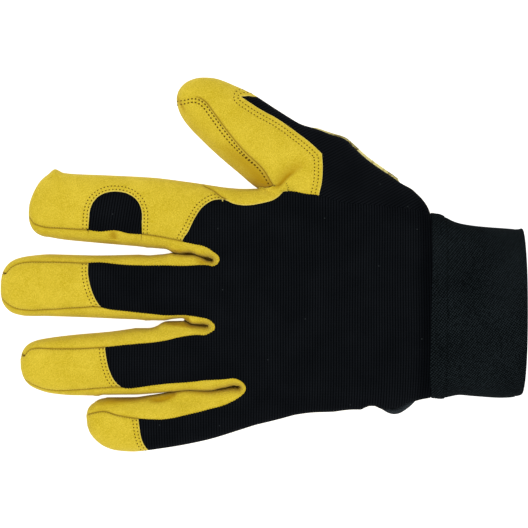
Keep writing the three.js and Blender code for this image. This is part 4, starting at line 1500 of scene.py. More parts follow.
class Shader:
    """A material under construction, with short calls for its nodes."""

    def __init__(self, name: str) -> None:
        """Starts a material with its surface shader."""
        self.material = bpy.data.materials.new(name)
        self.material.use_nodes = True
        self.tree = self.material.node_tree
        self.tree.nodes.clear()
        self.surface = self.node("ShaderNodeBsdfPrincipled")
        output = self.node("ShaderNodeOutputMaterial")
        self.join(self.surface.outputs[0], output.inputs["Surface"])
        self.place = self.node("ShaderNodeTexCoord").outputs["Object"]

    def node(self, kind: str, **settings: object) -> bpy.types.Node:
        """A new node with its own settings."""
        made = self.tree.nodes.new(kind)
        for key, value in settings.items():
            setattr(made, key, value)
        return made

    def join(self, source: Socket, target: Socket) -> None:
        """Connects two sockets."""
        self.tree.links.new(source, target)

    def feed(self, socket: Socket, value: object) -> None:
        """Sets a socket, or connects it."""
        if isinstance(value, Socket):
            self.join(value, socket)
        else:
            socket.default_value = value

    def math(self, operation: str, a: object, b: object = 0.0, c: object = 0.0,
             clamp: bool = False) -> Socket:
        """A number worked out from others."""
        made = self.node("ShaderNodeMath", operation=operation, use_clamp=clamp)
        for socket, value in zip(made.inputs, (a, b, c)):
            self.feed(socket, value)
        return made.outputs[0]

    def times(self, a: object, b: object) -> Socket:
        """A number times another."""
        return self.math("MULTIPLY", a, b)

    def fused(self, a: object, b: object, c: object) -> Socket:
        """A number times another, plus a third."""
        return self.math("MULTIPLY_ADD", a, b, c)

    def noise(self, scale: float, detail: float = 2.0,
              roughness: float = 0.5) -> Socket:
        """Cloudy noise of a scale in features per metre."""
        made = self.node("ShaderNodeTexNoise")
        self.join(self.place, made.inputs["Vector"])
        made.inputs["Scale"].default_value = scale
        made.inputs["Detail"].default_value = detail
        made.inputs["Roughness"].default_value = roughness
        return made.outputs[0]

    def attribute(self, name: str) -> Socket:
        """A number kept on the mesh's points."""
        return self.node("ShaderNodeAttribute", attribute_name=name).outputs["Fac"]

    def spread(self, value: object, low: float, high: float, to_low: float = 0.0,
               to_high: float = 1.0) -> Socket:
        """A number moved from one range to another, and held there."""
        made = self.node("ShaderNodeMapRange")
        for key, item in zip(("Value", "From Min", "From Max", "To Min", "To Max"),
                             (value, low, high, to_low, to_high)):
            self.feed(made.inputs[key], item)
        return made.outputs["Result"]

    def mix(self, share: object, first: object, second: object) -> Socket:
        """A colour between two others."""
        made = self.node("ShaderNodeMix", data_type="RGBA")
        self.feed(made.inputs["Factor"], share)
        for socket, value in ((made.inputs[6], first), (made.inputs[7], second)):
            self.feed(socket, (*value, 1.0) if isinstance(value, tuple) else value)
        return made.outputs[2]

    def bump(self, height: Socket, distance: float, strength: float = 1.0) -> None:
        """Roughens the surface by a height, whose unit is a distance in metres."""
        made = self.node("ShaderNodeBump")
        self.join(height, made.inputs["Height"])
        made.inputs["Distance"].default_value = distance
        made.inputs["Strength"].default_value = strength
        self.join(made.outputs[0], self.surface.inputs["Normal"])

    def paint(self, colour: Socket) -> None:
        """Gives the surface its colour."""
        self.join(colour, self.surface.inputs["Base Color"])

    def set(self, **values: float | tuple) -> None:
        """Sets the shader's own sockets, named with underscores for spaces."""
        for key, value in values.items():
            self.surface.inputs[key.replace("_", " ")].default_value = value


@dataclass(frozen=True)
class Suede:
    """Gold suede with a short nap, mottled, paler at its cut edges and darker in its seams, with
    painted shade in its creases, beside its slits and under the thumb's web.

    Args:
        light: colour of the raised nap.
        dark: colour where the nap lies down.
        shade: painted shade colour, mixed in where the leather lies in creases, beside the slits and
            under the thumb's web.
        seam: colour in the grooves of the seams, also used as painted shade in the slits, under the
            knit's edge at the lip and under the web's fold.
        cut: colour of a cut edge, also used for a painted highlight beside the thumb's seam and for
            painted light on the lip.
    """

    name: str = "gold_suede"
    light: Triple = (0.74, 0.565, 0.054)
    dark: Triple = (0.45, 0.32, 0.004)
    shade: Triple = (0.40, 0.235, 0.004)
    seam: Triple = (0.22, 0.115, 0.002)
    cut: Triple = (0.88, 0.77, 0.30)

    def build(self) -> Material:
        """Builds the material."""
        shader = Shader(self.name)
        clouds = shader.spread(shader.noise(90, 3, 0.6), 0.32, 0.68)
        grain = shader.spread(shader.noise(1900, 2, 0.7), 0.36, 0.64)
        fleck = shader.spread(shader.noise(3000, 2, 0.6), 0.25, 0.75)
        mixed = shader.fused(clouds, 0.25, shader.fused(grain, 0.55, shader.times(fleck, 0.2)))
        colour = shader.mix(mixed, self.dark, self.light)
        # Over the mottled nap: painted shade, then the seams' colour, which also holds painted shade,
        # then the pale cut-edge colour, which also holds painted light.
        for name, over in (("painted_shade", self.shade), ("seam", self.seam), ("cut", self.cut)):
            colour = shader.mix(shader.attribute(name), colour, over)
        shader.paint(colour)
        shader.set(Roughness=0.92, Specular_IOR_Level=0.05, Sheen_Weight=0.14,
                   Sheen_Roughness=0.45, Sheen_Tint=(1.0, 0.92, 0.5, 1.0))
        shader.bump(shader.fused(grain, 0.6, shader.times(fleck, 0.5)), 0.00022, 0.8)
        return shader.material


@dataclass(frozen=True)
class RibKnit:
    """Black rib knit with a bluish cast, with a painted highlight on the crests of its ribs and
    painted shade between its ribs and loops.

    Args:
        crest: colour on top of a rib, a painted highlight.
        valley: colour between two ribs, painted shade.
        lint: colour of the few specks of lint.
        course_pitch: from one course of loops to the next, in millimetres.
        speck_scale: cells of lint in a metre.
        speck_size: size of a speck as a share of its cell.
    """

    name: str = "black_rib_knit"
    crest: Triple = (0.0068, 0.0080, 0.0098)
    valley: Triple = (0.0003, 0.0005, 0.0008)
    lint: Triple = (0.022, 0.026, 0.027)
    course_pitch: float = 0.75
    speck_scale: float = 30.0
    speck_size: float = 0.0075

    def build(self) -> Material:
        """Builds the material."""
        shader = Shader(self.name)
        rib = shader.attribute("rib")
        course = shader.attribute("course")
        wave = shader.math("ABSOLUTE", shader.math("COSINE", shader.times(rib, math.pi)))
        side = shader.math("ABSOLUTE", shader.math("SUBTRACT", shader.math("FRACT", rib), 0.5))
        loop = shader.math("SINE", shader.fused(course, 2 * math.pi / self.course_pitch,
                                                shader.times(side, 5.0)))
        loop = shader.fused(loop, 0.5, 0.5)
        fuzz = shader.noise(2200, 2, 0.6)
        patch = shader.spread(shader.noise(70, 2), 0.3, 0.7, 0.75, 1.1)
        height = shader.fused(loop, 0.5, shader.times(fuzz, 0.5))
        # Painted light and shade: lighter on the tops of the ribs and loops that the bump raises,
        # darker between them; the patches are random tone.
        shaded_tone = shader.math("MULTIPLY", shader.times(wave, patch),
                           shader.fused(height, 0.7, 0.5), clamp=True)
        # Painted shade from the mesh, darker towards the wrist seam.
        shaded_tone = shader.times(shaded_tone, shader.attribute("shaded_tone"))
        colour = shader.mix(shaded_tone, self.valley, self.crest)
        specks = shader.node("ShaderNodeTexVoronoi", voronoi_dimensions="2D")
        shader.join(shader.place, specks.inputs["Vector"])
        specks.inputs["Scale"].default_value = self.speck_scale
        speck = shader.math("LESS_THAN", specks.outputs["Distance"], self.speck_size)
        colour = shader.mix(speck, colour, self.lint)
        shader.paint(colour)
        shader.set(Roughness=0.85, Specular_IOR_Level=0.006, Sheen_Weight=0.012,
                   Sheen_Roughness=0.3, Sheen_Tint=(0.5, 0.6, 1.0, 1.0))
        shader.bump(height, 0.00018, 0.7)
        return shader.material


@dataclass(frozen=True)
class ElasticTwill:
    """Black woven elastic with fine slanting lines and a greenish cast, drawn as painted shade
    between its threads.

    Args:
        thread: colour on top of the slanting lines.
        gap: colour between them, painted shade.
        pitch: from one slanting line to the next, in millimetres.
        pick_pitch: from one thread across them to the next.
    """

    name: str = "black_elastic_twill"
    thread: Triple = (0.0130, 0.0178, 0.0202)
    gap: Triple = (0.0002, 0.0004, 0.0005)
    pitch: float = 0.93
    pick_pitch: float = 0.9

    def build(self) -> Material:
        """Builds the material."""
        shader = Shader(self.name)
        along = shader.attribute("along")
        around = shader.attribute("around")
        slant = shader.fused(along, 0.85, shader.times(around, 0.55))
        twill = shader.math("SINE", shader.times(slant, 2 * math.pi / self.pitch))
        across = shader.fused(along, -0.55, shader.times(around, 0.85))
        pick = shader.math("SINE", shader.times(across, 2 * math.pi / self.pick_pitch))
        weave = shader.fused(twill, 0.37, shader.fused(pick, 0.34, 0.48))
        fuzz = shader.spread(shader.noise(1450, 1, 0.5), 0.36, 0.64)
        patch = shader.spread(shader.noise(28, 2), 0.3, 0.7, 0.45, 1.35)
        # Painted shade between the threads, following the weave that the bump draws; patch and fuzz
        # are random tone.
        shaded_tone = shader.math("MULTIPLY", shader.times(weave, patch),
                           shader.fused(fuzz, 0.75, 0.37), clamp=True)
        shader.paint(shader.mix(shaded_tone, self.gap, self.thread))
        shader.set(Roughness=0.8, Specular_IOR_Level=0.006, Sheen_Weight=0.004,
                   Sheen_Roughness=0.4, Sheen_Tint=(0.75, 1.0, 0.95, 1.0))
        shader.bump(shader.fused(fuzz, 0.3, weave), 0.00016, 0.8)
        return shader.material


@dataclass(frozen=True)
class Thread:
    """Twisted sewing thread, with painted shade between its strands.

    Args:
        name: the material's name.
        colour: the thread's colour.
        hollow_shade: how bright it is between its strands, as a share: painted shade.
    """

    name: str
    colour: Triple
    hollow_shade: float = 0.45

    def build(self) -> Material:
        """Builds the material."""
        shader = Shader(self.name)
        twist = shader.spread(shader.noise(5200, 1), 0.3, 0.7)
        # Painted shade in the twist's hollows, where the bump sinks.
        dark = tuple(self.hollow_shade * c for c in self.colour)
        shader.paint(shader.mix(twist, dark, self.colour))
        shader.set(Roughness=0.75, Specular_IOR_Level=0.05)
        shader.bump(twist, 0.0001, 0.6)
        return shader.material


@dataclass
class Upper:
    """Every panel above the widest level, cut from one plan.

    Args:
        form: the common form.
        pattern: the plan of the panels.
        shop: turns plans into objects.
        relief: the panels' relief beside their seams.
        serration: how far the knit's ribs reach over leather.
    """

    form: GloveForm
    pattern: Pattern
    shop: Workshop
    materials: dict[Finish, Material]
    relief: Relief = Relief()
    serration: float = 0.3
    pieces: dict[str, Object] = field(default_factory=dict)

    def build(self, thumb_sole: "Sole") -> None:
        """Builds every panel, the thumb's front together with its underside."""
        for number, panel in enumerate(PANELS):
            faces = self.pattern.faces[self.pattern.owner == number]
            points, faces, attributes = self.sheet(number, panel, faces)
            if panel.name == "thumb_front":
                points, faces, attributes = thumb_sole.joined(points, faces, attributes)
            piece = self.shop.mesh(f"{panel.name}_cloth", points, faces, attributes)
            if panel.name == "thumb_front":
                self.shop.edit(bpy.ops.mesh.remove_doubles, threshold=SAME_POINT)
            self.shop.cloth(piece, panel.wall, self.materials[panel.finish], panel.finish,
                            panel.name)
            self.pieces[panel.name] = piece

    def inset(self, seam: Seam, panel: Panel, ribs: Array) -> Array:
        """How far a panel's edge stays back from a seam.

        Args:
            seam: the seam.
            panel: the panel.
            ribs: the phase of its ribs at its points.

        Returns:
            A distance for each point, below 0 where it laps over.
        """
        lap = 0.0
        if panel.finish is Finish.KNIT:
            if seam is Seam.TURNED:
                return -self.serration * np.abs(np.cos(np.pi * ribs)) ** 0.7
        elif panel.name != "thumb_front":
            lap = {Seam.LAPPED: -0.12, Seam.EASED: -0.1, Seam.FOLDED: -0.3}.get(seam, 0.0)
        return np.full(len(ribs), lap)

    def borders_of(self, number: int) -> tuple[dict[Seam, Array], Array]:
        """A panel's own edges in the plan.

        Args:
            number: the panel's number.

        Returns:
            Its edges on each kind of seam, and its edges on the silhouette.
        """
        found = {seam: [np.zeros((0, 2), int)] for seam in (*Seam, None)}
        for (one, two), edges in self.pattern.borders.items():
            if one == number:
                found[seam_between(one, two)].append(edges)
        edges = {seam: np.concatenate(parts) for seam, parts in found.items()}
        rim = edges.pop(None)
        return edges, rim

    def sheet(self, number: int, panel: Panel,
              faces: Array) -> tuple[Array, Array, dict[str, Array]]:
        """Lifts a panel's part of the plan on to the form.

        Args:
            number: the panel's number.
            panel: the panel.
            faces: its triangles in the plan.

        Returns:
            The points, the triangles, and the numbers that its material reads.
        """
        used, faces = np.unique(faces, return_inverse=True)
        faces = faces.reshape(-1, 3)
        ends = self.pattern.points
        plan = ends[used].copy()
        across, along = self.pattern.rib_axes(panel)
        ribs = plan @ across / self.pattern.rib_pitch + rumple(plan, 45.0, 0.5, 3.0)
        again = np.full(len(ends), -1)
        again[used] = np.arange(len(used))
        seams, rim = self.borders_of(number)
        away = {seam: Segments(ends[edges]).nearest(plan)[0] for seam, edges in seams.items()}
        from_rim = Segments(ends[rim]).nearest(plan)[0]
        corner = smoothstep(0.3, 1.6, away[Seam.LAPPED])
        move = np.zeros_like(plan)
        for seam, edges in seams.items():
            run = unit(ends[edges[:, 1]] - ends[edges[:, 0]], 1e-9)
            inwards = np.zeros_like(plan)
            for end in (0, 1):
                np.add.at(inwards, again[edges[:, end]], leftwards(run))
            ease = corner if seam is Seam.TURNED else 1.0
            move += unit(inwards, 1e-6) * (self.inset(seam, panel, ribs) * ease)[:, None]
        plan += move * smoothstep(0, 0.6, from_rim)[:, None]
        if panel.name == "back_panel":
            start, full, fade, end = VENT
            vent = smoothstep(start, full, plan[:, 0]) - smoothstep(fade, end, plan[:, 0])
            plan[:, 1] += VENT_WIDTH * vent * (plan[:, 1] < -40) * fading(from_rim, 3.0)
        height = self.form.top(plan)
        height[from_rim < ON_RIM] = WIDEST_LEVEL
        points = np.column_stack([plan, height])
        normals = vertex_normals(points, faces)
        thumb_seam = smoothstep(*THUMB_SEAM, plan[:, 0])
        if panel.finish is Finish.KNIT:
            relief = self.relief.knit(panel, away, ribs) + rumple(plan, 22.0, 0.35, 1.0)
            relief -= 1.1 * fading(-np.minimum(plan[:, 0], 0), 2.2)
        else:
            relief = self.relief.leather(panel, away, thumb_seam)
            relief += rumple(plan, 9.0, 0.22, 5.0) + rumple(plan, 3.2, 0.1, 9.0)
        # Painted shade beside the slits, where the fingers shade each other's sides.
        painted_shade = 0.35 * fading(np.maximum(self.form.from_slots(plan), 0), 1.3)
        # Creases dent the relief and add painted shade.
        for crease in CREASES:
            share = crease.share(plan)
            relief -= crease.depth * share
            painted_shade += crease.shade_tint * share
        points += normals * (relief * smoothstep(0.0, 2.2, from_rim))[:, None]
        # Painted shade on the knit, darker towards the wrist seam where it turns down.
        attributes = {"rib": ribs, "course": plan @ along,
                      "shaded_tone": 1 - 0.5 * smoothstep(-9.0, -3.0, plan[:, 0])}
        attributes |= self.tints(panel, away, painted_shade, thumb_seam)
        attributes["seam"] *= smoothstep(0.0, 1.3, from_rim)
        return points, faces, attributes

    @staticmethod
    def tints(panel: Panel, away: dict[Seam, Array], painted_shade: Array,
              thumb_seam: Array) -> dict[str, Array]:
        """How pale, dark and shaded a panel is beside its seams, with painted shade and a painted
        highlight.

        Args:
            panel: the panel.
            away: distances of its points from each kind of seam.
            painted_shade: how much painted shade they have from creases and slits.
            thumb_seam: how much of the thumb's seam shows, from 0 to 1.

        Returns:
            The shares of the pale cut-edge colour, which also holds a painted highlight, of the
            seams' colour, which also holds painted shade at the web's fold, and of the painted shade
            colour.
        """
        pale = 0.3 * bell(away[Seam.LAPPED], 0.15)
        pale += 0.25 * bell(away[Seam.EASED], 0.25)
        dark = np.maximum(0.8 * fading(away[Seam.CLOSED], 0.3),
                          0.35 * fading(away[Seam.TURNED], 0.3))
        dark += 0.8 * thumb_seam * fading(away[Seam.TOPSTITCHED], 0.3)
        dark += 0.06 * fading(away[Seam.BUTTED], 0.2)
        if panel.name == "thumb_front":
            # Painted shade on the thumb's front under the web's fold: near it, far along it, and a
            # dark line at its edge.
            painted_shade = painted_shade + 0.9 * fading(away[Seam.FOLDED], 2.5)
            painted_shade += 0.75 * fading(away[Seam.FOLDED], 13.0)
            dark += 0.5 * fading(away[Seam.FOLDED], 0.5)
            # A painted highlight on the ridge beside the thumb's seam, in the pale cut-edge share.
            pale += 0.07 * thumb_seam * bell(away[Seam.TOPSTITCHED] - 0.75, 0.3)
        return {"cut": pale, "seam": np.clip(dark, 0, 1), "painted_shade": np.clip(painted_shade, 0, 1)}


@dataclass
class Sole:
    """The leather under the hand and fingers, and the thumb's underside.

    Args:
        form: the common form.
        shop: turns plans into objects.
        pattern: the plan of the panels above.
        material: the suede.
        rows: distances of the rows of points beside the silhouette.
        step: distance of the points elsewhere.
    """

    form: GloveForm
    shop: Workshop
    pattern: Pattern
    material: Material
    rows: tuple[float, ...] = (0.03, 0.12, 0.35, 0.8, 1.5, 2.6, 3.9)
    step: float = 1.5

    def __post_init__(self) -> None:
        """Cuts the plan of the underside into the palm's and the thumb's triangles."""
        self.zone = spline(self.form.tubes["thumb"].outline(PALM_ZONE), 0.5, True)
        points, edges, rims = self.form.rims(self.pattern.edge_step, True)
        pairs = ring_pairs(len(self.zone))
        edges.append(pairs + sum(map(len, points)))
        points.append(self.zone)
        rim_line, self.zone_line = Segments(rims), Segments(self.zone[pairs])

        def keep(spots: Array, from_rim: Array | float, from_zone: float) -> None:
            """Adds the spots under the glove that are far enough from its lines."""
            ok = self.form.inside(spots, True) & (rim_line.nearest(spots)[0] > from_rim)
            points.append(spots[ok & (self.zone_line.nearest(spots)[0] > from_zone)])

        row, far = beside(rims, self.rows, 2)
        keep(row, ROW_ROOM * far, 0.2)
        keep(staggered(self.step), 4.3, 0.7)
        self.points, faces = cut_plan(points, edges)
        faces = faces[self.form.inside(self.points[faces].mean(axis=1), True)]
        in_thumb = inside_outline(self.points[faces].mean(axis=1), self.zone)
        self.thumb_faces, self.palm_faces = faces[in_thumb], faces[~in_thumb]

    def lifted(self, faces: Array, edge_drop: float) -> tuple[Array, Array, Array]:
        """Places a part of the plan on the underside of the form.

        Args:
            faces: triangles of the plan.
            edge_drop: how far the edge under the silhouette is lowered.

        Returns:
            The points, the triangles facing down, and the points' distance from the silhouette.
        """
        used, faces = np.unique(faces, return_inverse=True)
        faces = faces.reshape(-1, 3)[:, ::-1]
        plan = self.points[used]
        edges, _, other = Pattern.edge_table(faces)
        rim = edges[other == NOWHERE]
        rim = rim[self.zone_line.nearest(plan[rim].mean(axis=1))[0] > 1e-3]
        from_rim = Segments(plan[rim]).nearest(plan)[0]
        height = self.form.sole(plan)
        height[from_rim < ON_RIM] = WIDEST_LEVEL
        height = height - edge_drop * fading(from_rim, 0.6)
        flat = smoothstep(2.0, 7.0, from_rim)
        height = np.maximum(height, 0) + flat * np.abs(rumple(plan, 16.0, 1.3, 21.0))
        return np.column_stack([plan, height]), faces, from_rim

    def joined(self, points: Array, faces: Array,
               attributes: dict[str, Array]) -> tuple[Array, Array, dict[str, Array]]:
        """The thumb's front with its underside."""
        under, under_faces, _ = self.lifted(self.thumb_faces, 0.0)
        both = {key: np.concatenate([values, np.zeros(len(under))])
                for key, values in attributes.items()}
        return np.concatenate([points, under]), np.concatenate(
            [faces, under_faces + len(points)]), both

    def build(self) -> None:
        """Builds the palm."""
        points, faces, from_rim = self.lifted(self.palm_faces, SEAM_SHADOW)
        lip = np.interp(points[:, 0], *LIP_WIDTH.T) * (points[:, 1] > 50)
        normals = vertex_normals(points, faces)
        outwards = unit(normals[:, :2], 0.2)
        points[:, :2] += outwards * (lip * fading(from_rim, 1.6))[:, None]
        points[:, 2] += 0.9 * np.clip(lip, 0, 1) * fading(from_rim, 0.6)
        # The lip's rim takes the pale cut-edge colour in full: partly the leather edge's own colour,
        # partly painted light on the lip.
        pale = np.clip(lip / 0.4, 0, 1) * bell(from_rim, 0.5)
        # Painted shade at the bottom of the slits, carried in the seams' share.
        dark = sum(slot.shade(points[:, :2]) for slot in self.form.slots.values())
        # Painted shade on the lip's inner side, under the edge of the knit above it.
        dark += 0.5 * np.clip(lip, 0, 1) * bell(from_rim - 1.4, 0.6)
        piece = self.shop.mesh("palm_panel_cloth", points, faces, {"cut": pale, "seam": dark})
        self.shop.cloth(piece, PALM.wall, self.material, PALM.finish, PALM.name)


@dataclass
class Cuff:
    """The elastic cuff: a band with a stitched strip along the wrist seam and a turned hem.

    Args:
        shop: turns plans into objects.
        material: the woven elastic.
        wall: thickness of the doubled band.
        start: from the wrist seam to its edge.
        strip: width of the strip along the wrist seam.
        row: from the wrist seam to the row of stitches on the strip.
        hem: width of the turned hem.
        squareness: exponent of its sections above the widest level.
        around: number of points round it.
        bow: how far the end stands out in the middle.
        taper: how much lower its end is than the wrist.
    """

    shop: Workshop
    material: Material
    wall: float = 1.6
    start: float = 0.3
    strip: float = 6.6
    row: float = 2.6
    hem: float = 3.0
    squareness: float = 2.5
    around: int = 320
    bow: float = 0.6
    taper: float = 0.5

    def surface(self, x: Array) -> Array:
        """The cuff's outer surface.

        Args:
            x: distances from the wrist seam.

        Returns:
            A ring of points for each distance.
        """
        plus, minus = monotone(*CUFF_PLUS.T, x), monotone(*CUFF_MINUS.T, x)
        share = np.clip(x / CUFF_END, 0, 1)
        rise = GloveForm.wrist_height - self.taper * share - WIDEST_LEVEL
        turn = np.linspace(0, 2 * np.pi, self.around, endpoint=False)
        side, lift = np.cos(turn), np.sin(turn)
        power = 2 / self.squareness
        across = np.sign(side) * np.abs(side) ** power
        y = (plus - minus)[:, None] / 2 + (plus + minus)[:, None] / 2 * across
        above = WIDEST_LEVEL + rise[:, None] * np.clip(lift, 0, 1) ** power
        belly = np.clip(-lift, 0, 1) ** (2 / Tube.sole_squareness)
        below = np.maximum(0, WIDEST_LEVEL * (1 - Tube.sole_flattening * belly))
        z = np.where(lift > 0, above, below)
        lean = (1.25 - 0.016 * y) * (1 - across**8)
        bowed = x[:, None] + self.bow * share[:, None] ** 4 * (1 - across**2)
        bowed = bowed - lean * fading(x, 5)[:, None]
        return np.stack([bowed, y, z], -1)

    def build(self) -> Object:
        """Builds the cuff."""
        x = np.concatenate([
            np.linspace(self.start, 1.2, 7), np.linspace(1.4, self.strip - 0.5, 14),
            np.linspace(self.strip - 0.3, self.strip + 0.5, 8),
            np.linspace(self.strip + 0.9, CUFF_END - 3.6, 40),
            np.linspace(CUFF_END - 3.3, CUFF_END, 20)])
        rings = self.surface(x)
        points = rings.reshape(-1, 3)
        faces = ring_faces(len(x), self.around)
        triangles = np.concatenate([faces[:, (0, 1, 2)], faces[:, (0, 2, 3)]])
        normals = -vertex_normals(points, triangles)
        way = np.repeat(x, self.around)
        from_end = CUFF_END - way
        strip = 0.25 * (1 - smoothstep(self.strip - 0.15, self.strip + 0.25, way))
        strip -= 0.3 * bell(way - self.strip - 0.15, 0.25)
        strip -= 0.2 * bell(way - self.row, 0.5)
        edge = -0.5 * fading(way - self.start, 0.25)
        hem = -0.45 * fading(from_end, 0.35)
        hem -= 0.16 * bell(way - CUFF_END + self.hem, 0.3)
        waves = rumple(points[:, :2], 14.0, 0.4, 31.0) * smoothstep(0.0, 5.0, from_end)
        sole = smoothstep(0.2, 3.0, points[:, 2])
        points = points + normals * ((strip + edge + hem + waves) * sole)[:, None]
        girth = lengthways(rings[len(x) // 2])
        piece = self.shop.mesh("wrist_cuff_cloth", points, faces[:, ::-1],
                               {"along": way, "around": np.tile(girth, len(x))})
        self.shop.cloth(piece, self.wall, self.material, Finish.ELASTIC, "wrist_cuff")
        return piece


@dataclass
class VentBinding:
    """The bound edge that shows as a crescent beside the wrist.

    Args:
        shop: turns plans into objects.
        material: the woven elastic.
        path: the crescent's line in plan.
        radius: half the binding's thickness.
        height: how far it rises above the widest level.
        step: step of its rings.
        sides: number of points in a ring.
    """

    shop: Workshop
    material: Material
    path: tuple[tuple[float, float], ...] = (
        (-21.8, -47.5), (-20.2, -47.9), (-18.3, -48.45), (-16.3, -48.6), (-14.6, -48.2),
        (-12.3, -46.95), (-10.2, -45.6), (-8.4, -44.4), (-6.6, -43.4))
    radius: float = 1.65
    height: float = 2.6
    step: float = 0.5
    sides: int = 20

    def build(self) -> None:
        """Builds the binding."""
        line = spline(np.array(self.path), self.step, corner=180)
        side = leftwards(unit(np.gradient(line, axis=0)))
        turn = np.linspace(0, 2 * np.pi, self.sides, endpoint=False)
        share = np.linspace(0, 1, len(line))
        swell = np.sin(np.pi * np.clip(share, 0.02, 0.98)) ** 0.45
        plan = line[:, None] + side[:, None] * (
            self.radius * swell[:, None] * np.cos(turn))[..., None]
        z = WIDEST_LEVEL + self.height * swell[:, None] * np.sin(turn)
        points = np.concatenate([plan, z[..., None]], -1).reshape(-1, 3)
        faces = ring_faces(len(line), self.sides)[:, (0, 3, 2, 1)].tolist()
        ends = list(range(self.sides))
        faces += [ends[::-1], [i + len(points) - self.sides for i in ends]]
        way = np.repeat(np.arange(len(line)) * self.step, self.sides)
        girth = np.tile(turn * self.radius, len(line))
        piece = self.shop.mesh("vent_binding_tape", points, faces,
                               {"along": way, "around": girth})
        self.shop.edit(bpy.ops.mesh.normals_make_consistent, inside=False)
        self.shop.soften(piece)
        self.shop.dress(piece, self.material, Finish.ELASTIC.value, "vent_binding")


@dataclass(frozen=True)
class Row:
    """A row of stitches beside a seam.

    Args:
        panel: the panel that carries it.
        other: the panel across the seam.
        away: its distance from the seam.
        pitch: from one stitch to the next.
        length: length of a stitch that shows.
        thickness: the thread's thickness.
        foot: a point of the seam near which two rows run together.
        circle: middle and radius of the circle that the row keeps to.
    """

    panel: str
    other: str
    away: float
    pitch: float = 1.6
    length: float = 0.75
    thickness: float = 0.5
    foot: tuple[float, float] | None = None
    circle: Triple | None = None


def tree_of(piece: Object) -> BVHTree:
    """A finished piece's faces, to be found from points near them."""
    data = piece.data
    return BVHTree.FromPolygons([v.co for v in data.vertices],
                                [tuple(p.vertices) for p in data.polygons])


class Needlework:
    """Stitches that are laid on finished cloth one by one, to make one piece."""

    SIDES = 6
    RINGS = ((-0.46, 0.55), (-0.3, 0.95), (0.0, 1.05), (0.3, 0.95), (0.46, 0.55))
    SAG = 0.25

    def __init__(self, shop: Workshop, lift: float) -> None:
        """Starts without stitches, whose middles lie at a height over the cloth in metres."""
        self.shop, self.lift = shop, lift
        self.points: list[Array] = []
        self.faces: list[list[int]] = []
        self.base, self.base_faces = self.model()

    def model(self) -> tuple[Array, list[list[int]]]:
        """One stitch of unit length and thickness along X, with its ends in the cloth.

        Returns:
            Its points and its faces.
        """
        turn = np.linspace(0, 2 * np.pi, self.SIDES, endpoint=False)
        points, faces = [(-0.5, 0, -self.SAG)], []
        for along, wide in self.RINGS:
            points += [(along, wide / 2 * c, wide / 2 * s - self.SAG * (2 * along) ** 2)
                       for c, s in zip(np.cos(turn), np.sin(turn))]
        n, last = self.SIDES, len(points)
        points.append((0.5, 0, -self.SAG))
        for i in range(n):
            j = (i + 1) % n
            faces.append([0, 1 + j, 1 + i])
            for a in range(1, last - n, n):
                faces.append([a + i, a + j, a + n + j, a + n + i])
            faces.append([last, last - n + i, last - n + j])
        return np.array(points, float), faces

    def lay(self, spot: Vector, normal: Vector, ahead: Array, size: tuple[float, float],
            slant: float = 0.0) -> None:
        """Lays a stitch on the cloth.

        Args:
            spot: its place in the row frame.
            normal: the cloth's normal there.
            ahead: the way that its row runs.
            size: its length and its thickness.
            slant: its turn from its row, in degrees.
        """
        up = np.array(normal)
        ahead = ahead - up * (ahead @ up)
        ahead /= np.linalg.norm(ahead)
        turn = math.radians(slant)
        ahead = ahead * math.cos(turn) + np.cross(up, ahead) * math.sin(turn)
        local = self.base * np.array((size[0], size[1], size[1])) / 1000
        first = len(self.points) * len(self.base)
        self.faces += [[i + first for i in face] for face in self.base_faces]
        self.points.append(np.array(spot) + local[:, :1] * ahead + local[:, 1:2] * np.cross(
            up, ahead) + (local[:, 2:] + self.lift) * up)

    def finish(self, name: str, material: Material, slot: str) -> None:
        """Makes the stitches one dressed piece."""
        cloud = (np.concatenate(self.points) - self.shop.origin) * 1000
        made = self.shop.mesh(name, cloud, self.faces)
        bpy.ops.object.shade_smooth()
        self.shop.dress(made, material, slot)


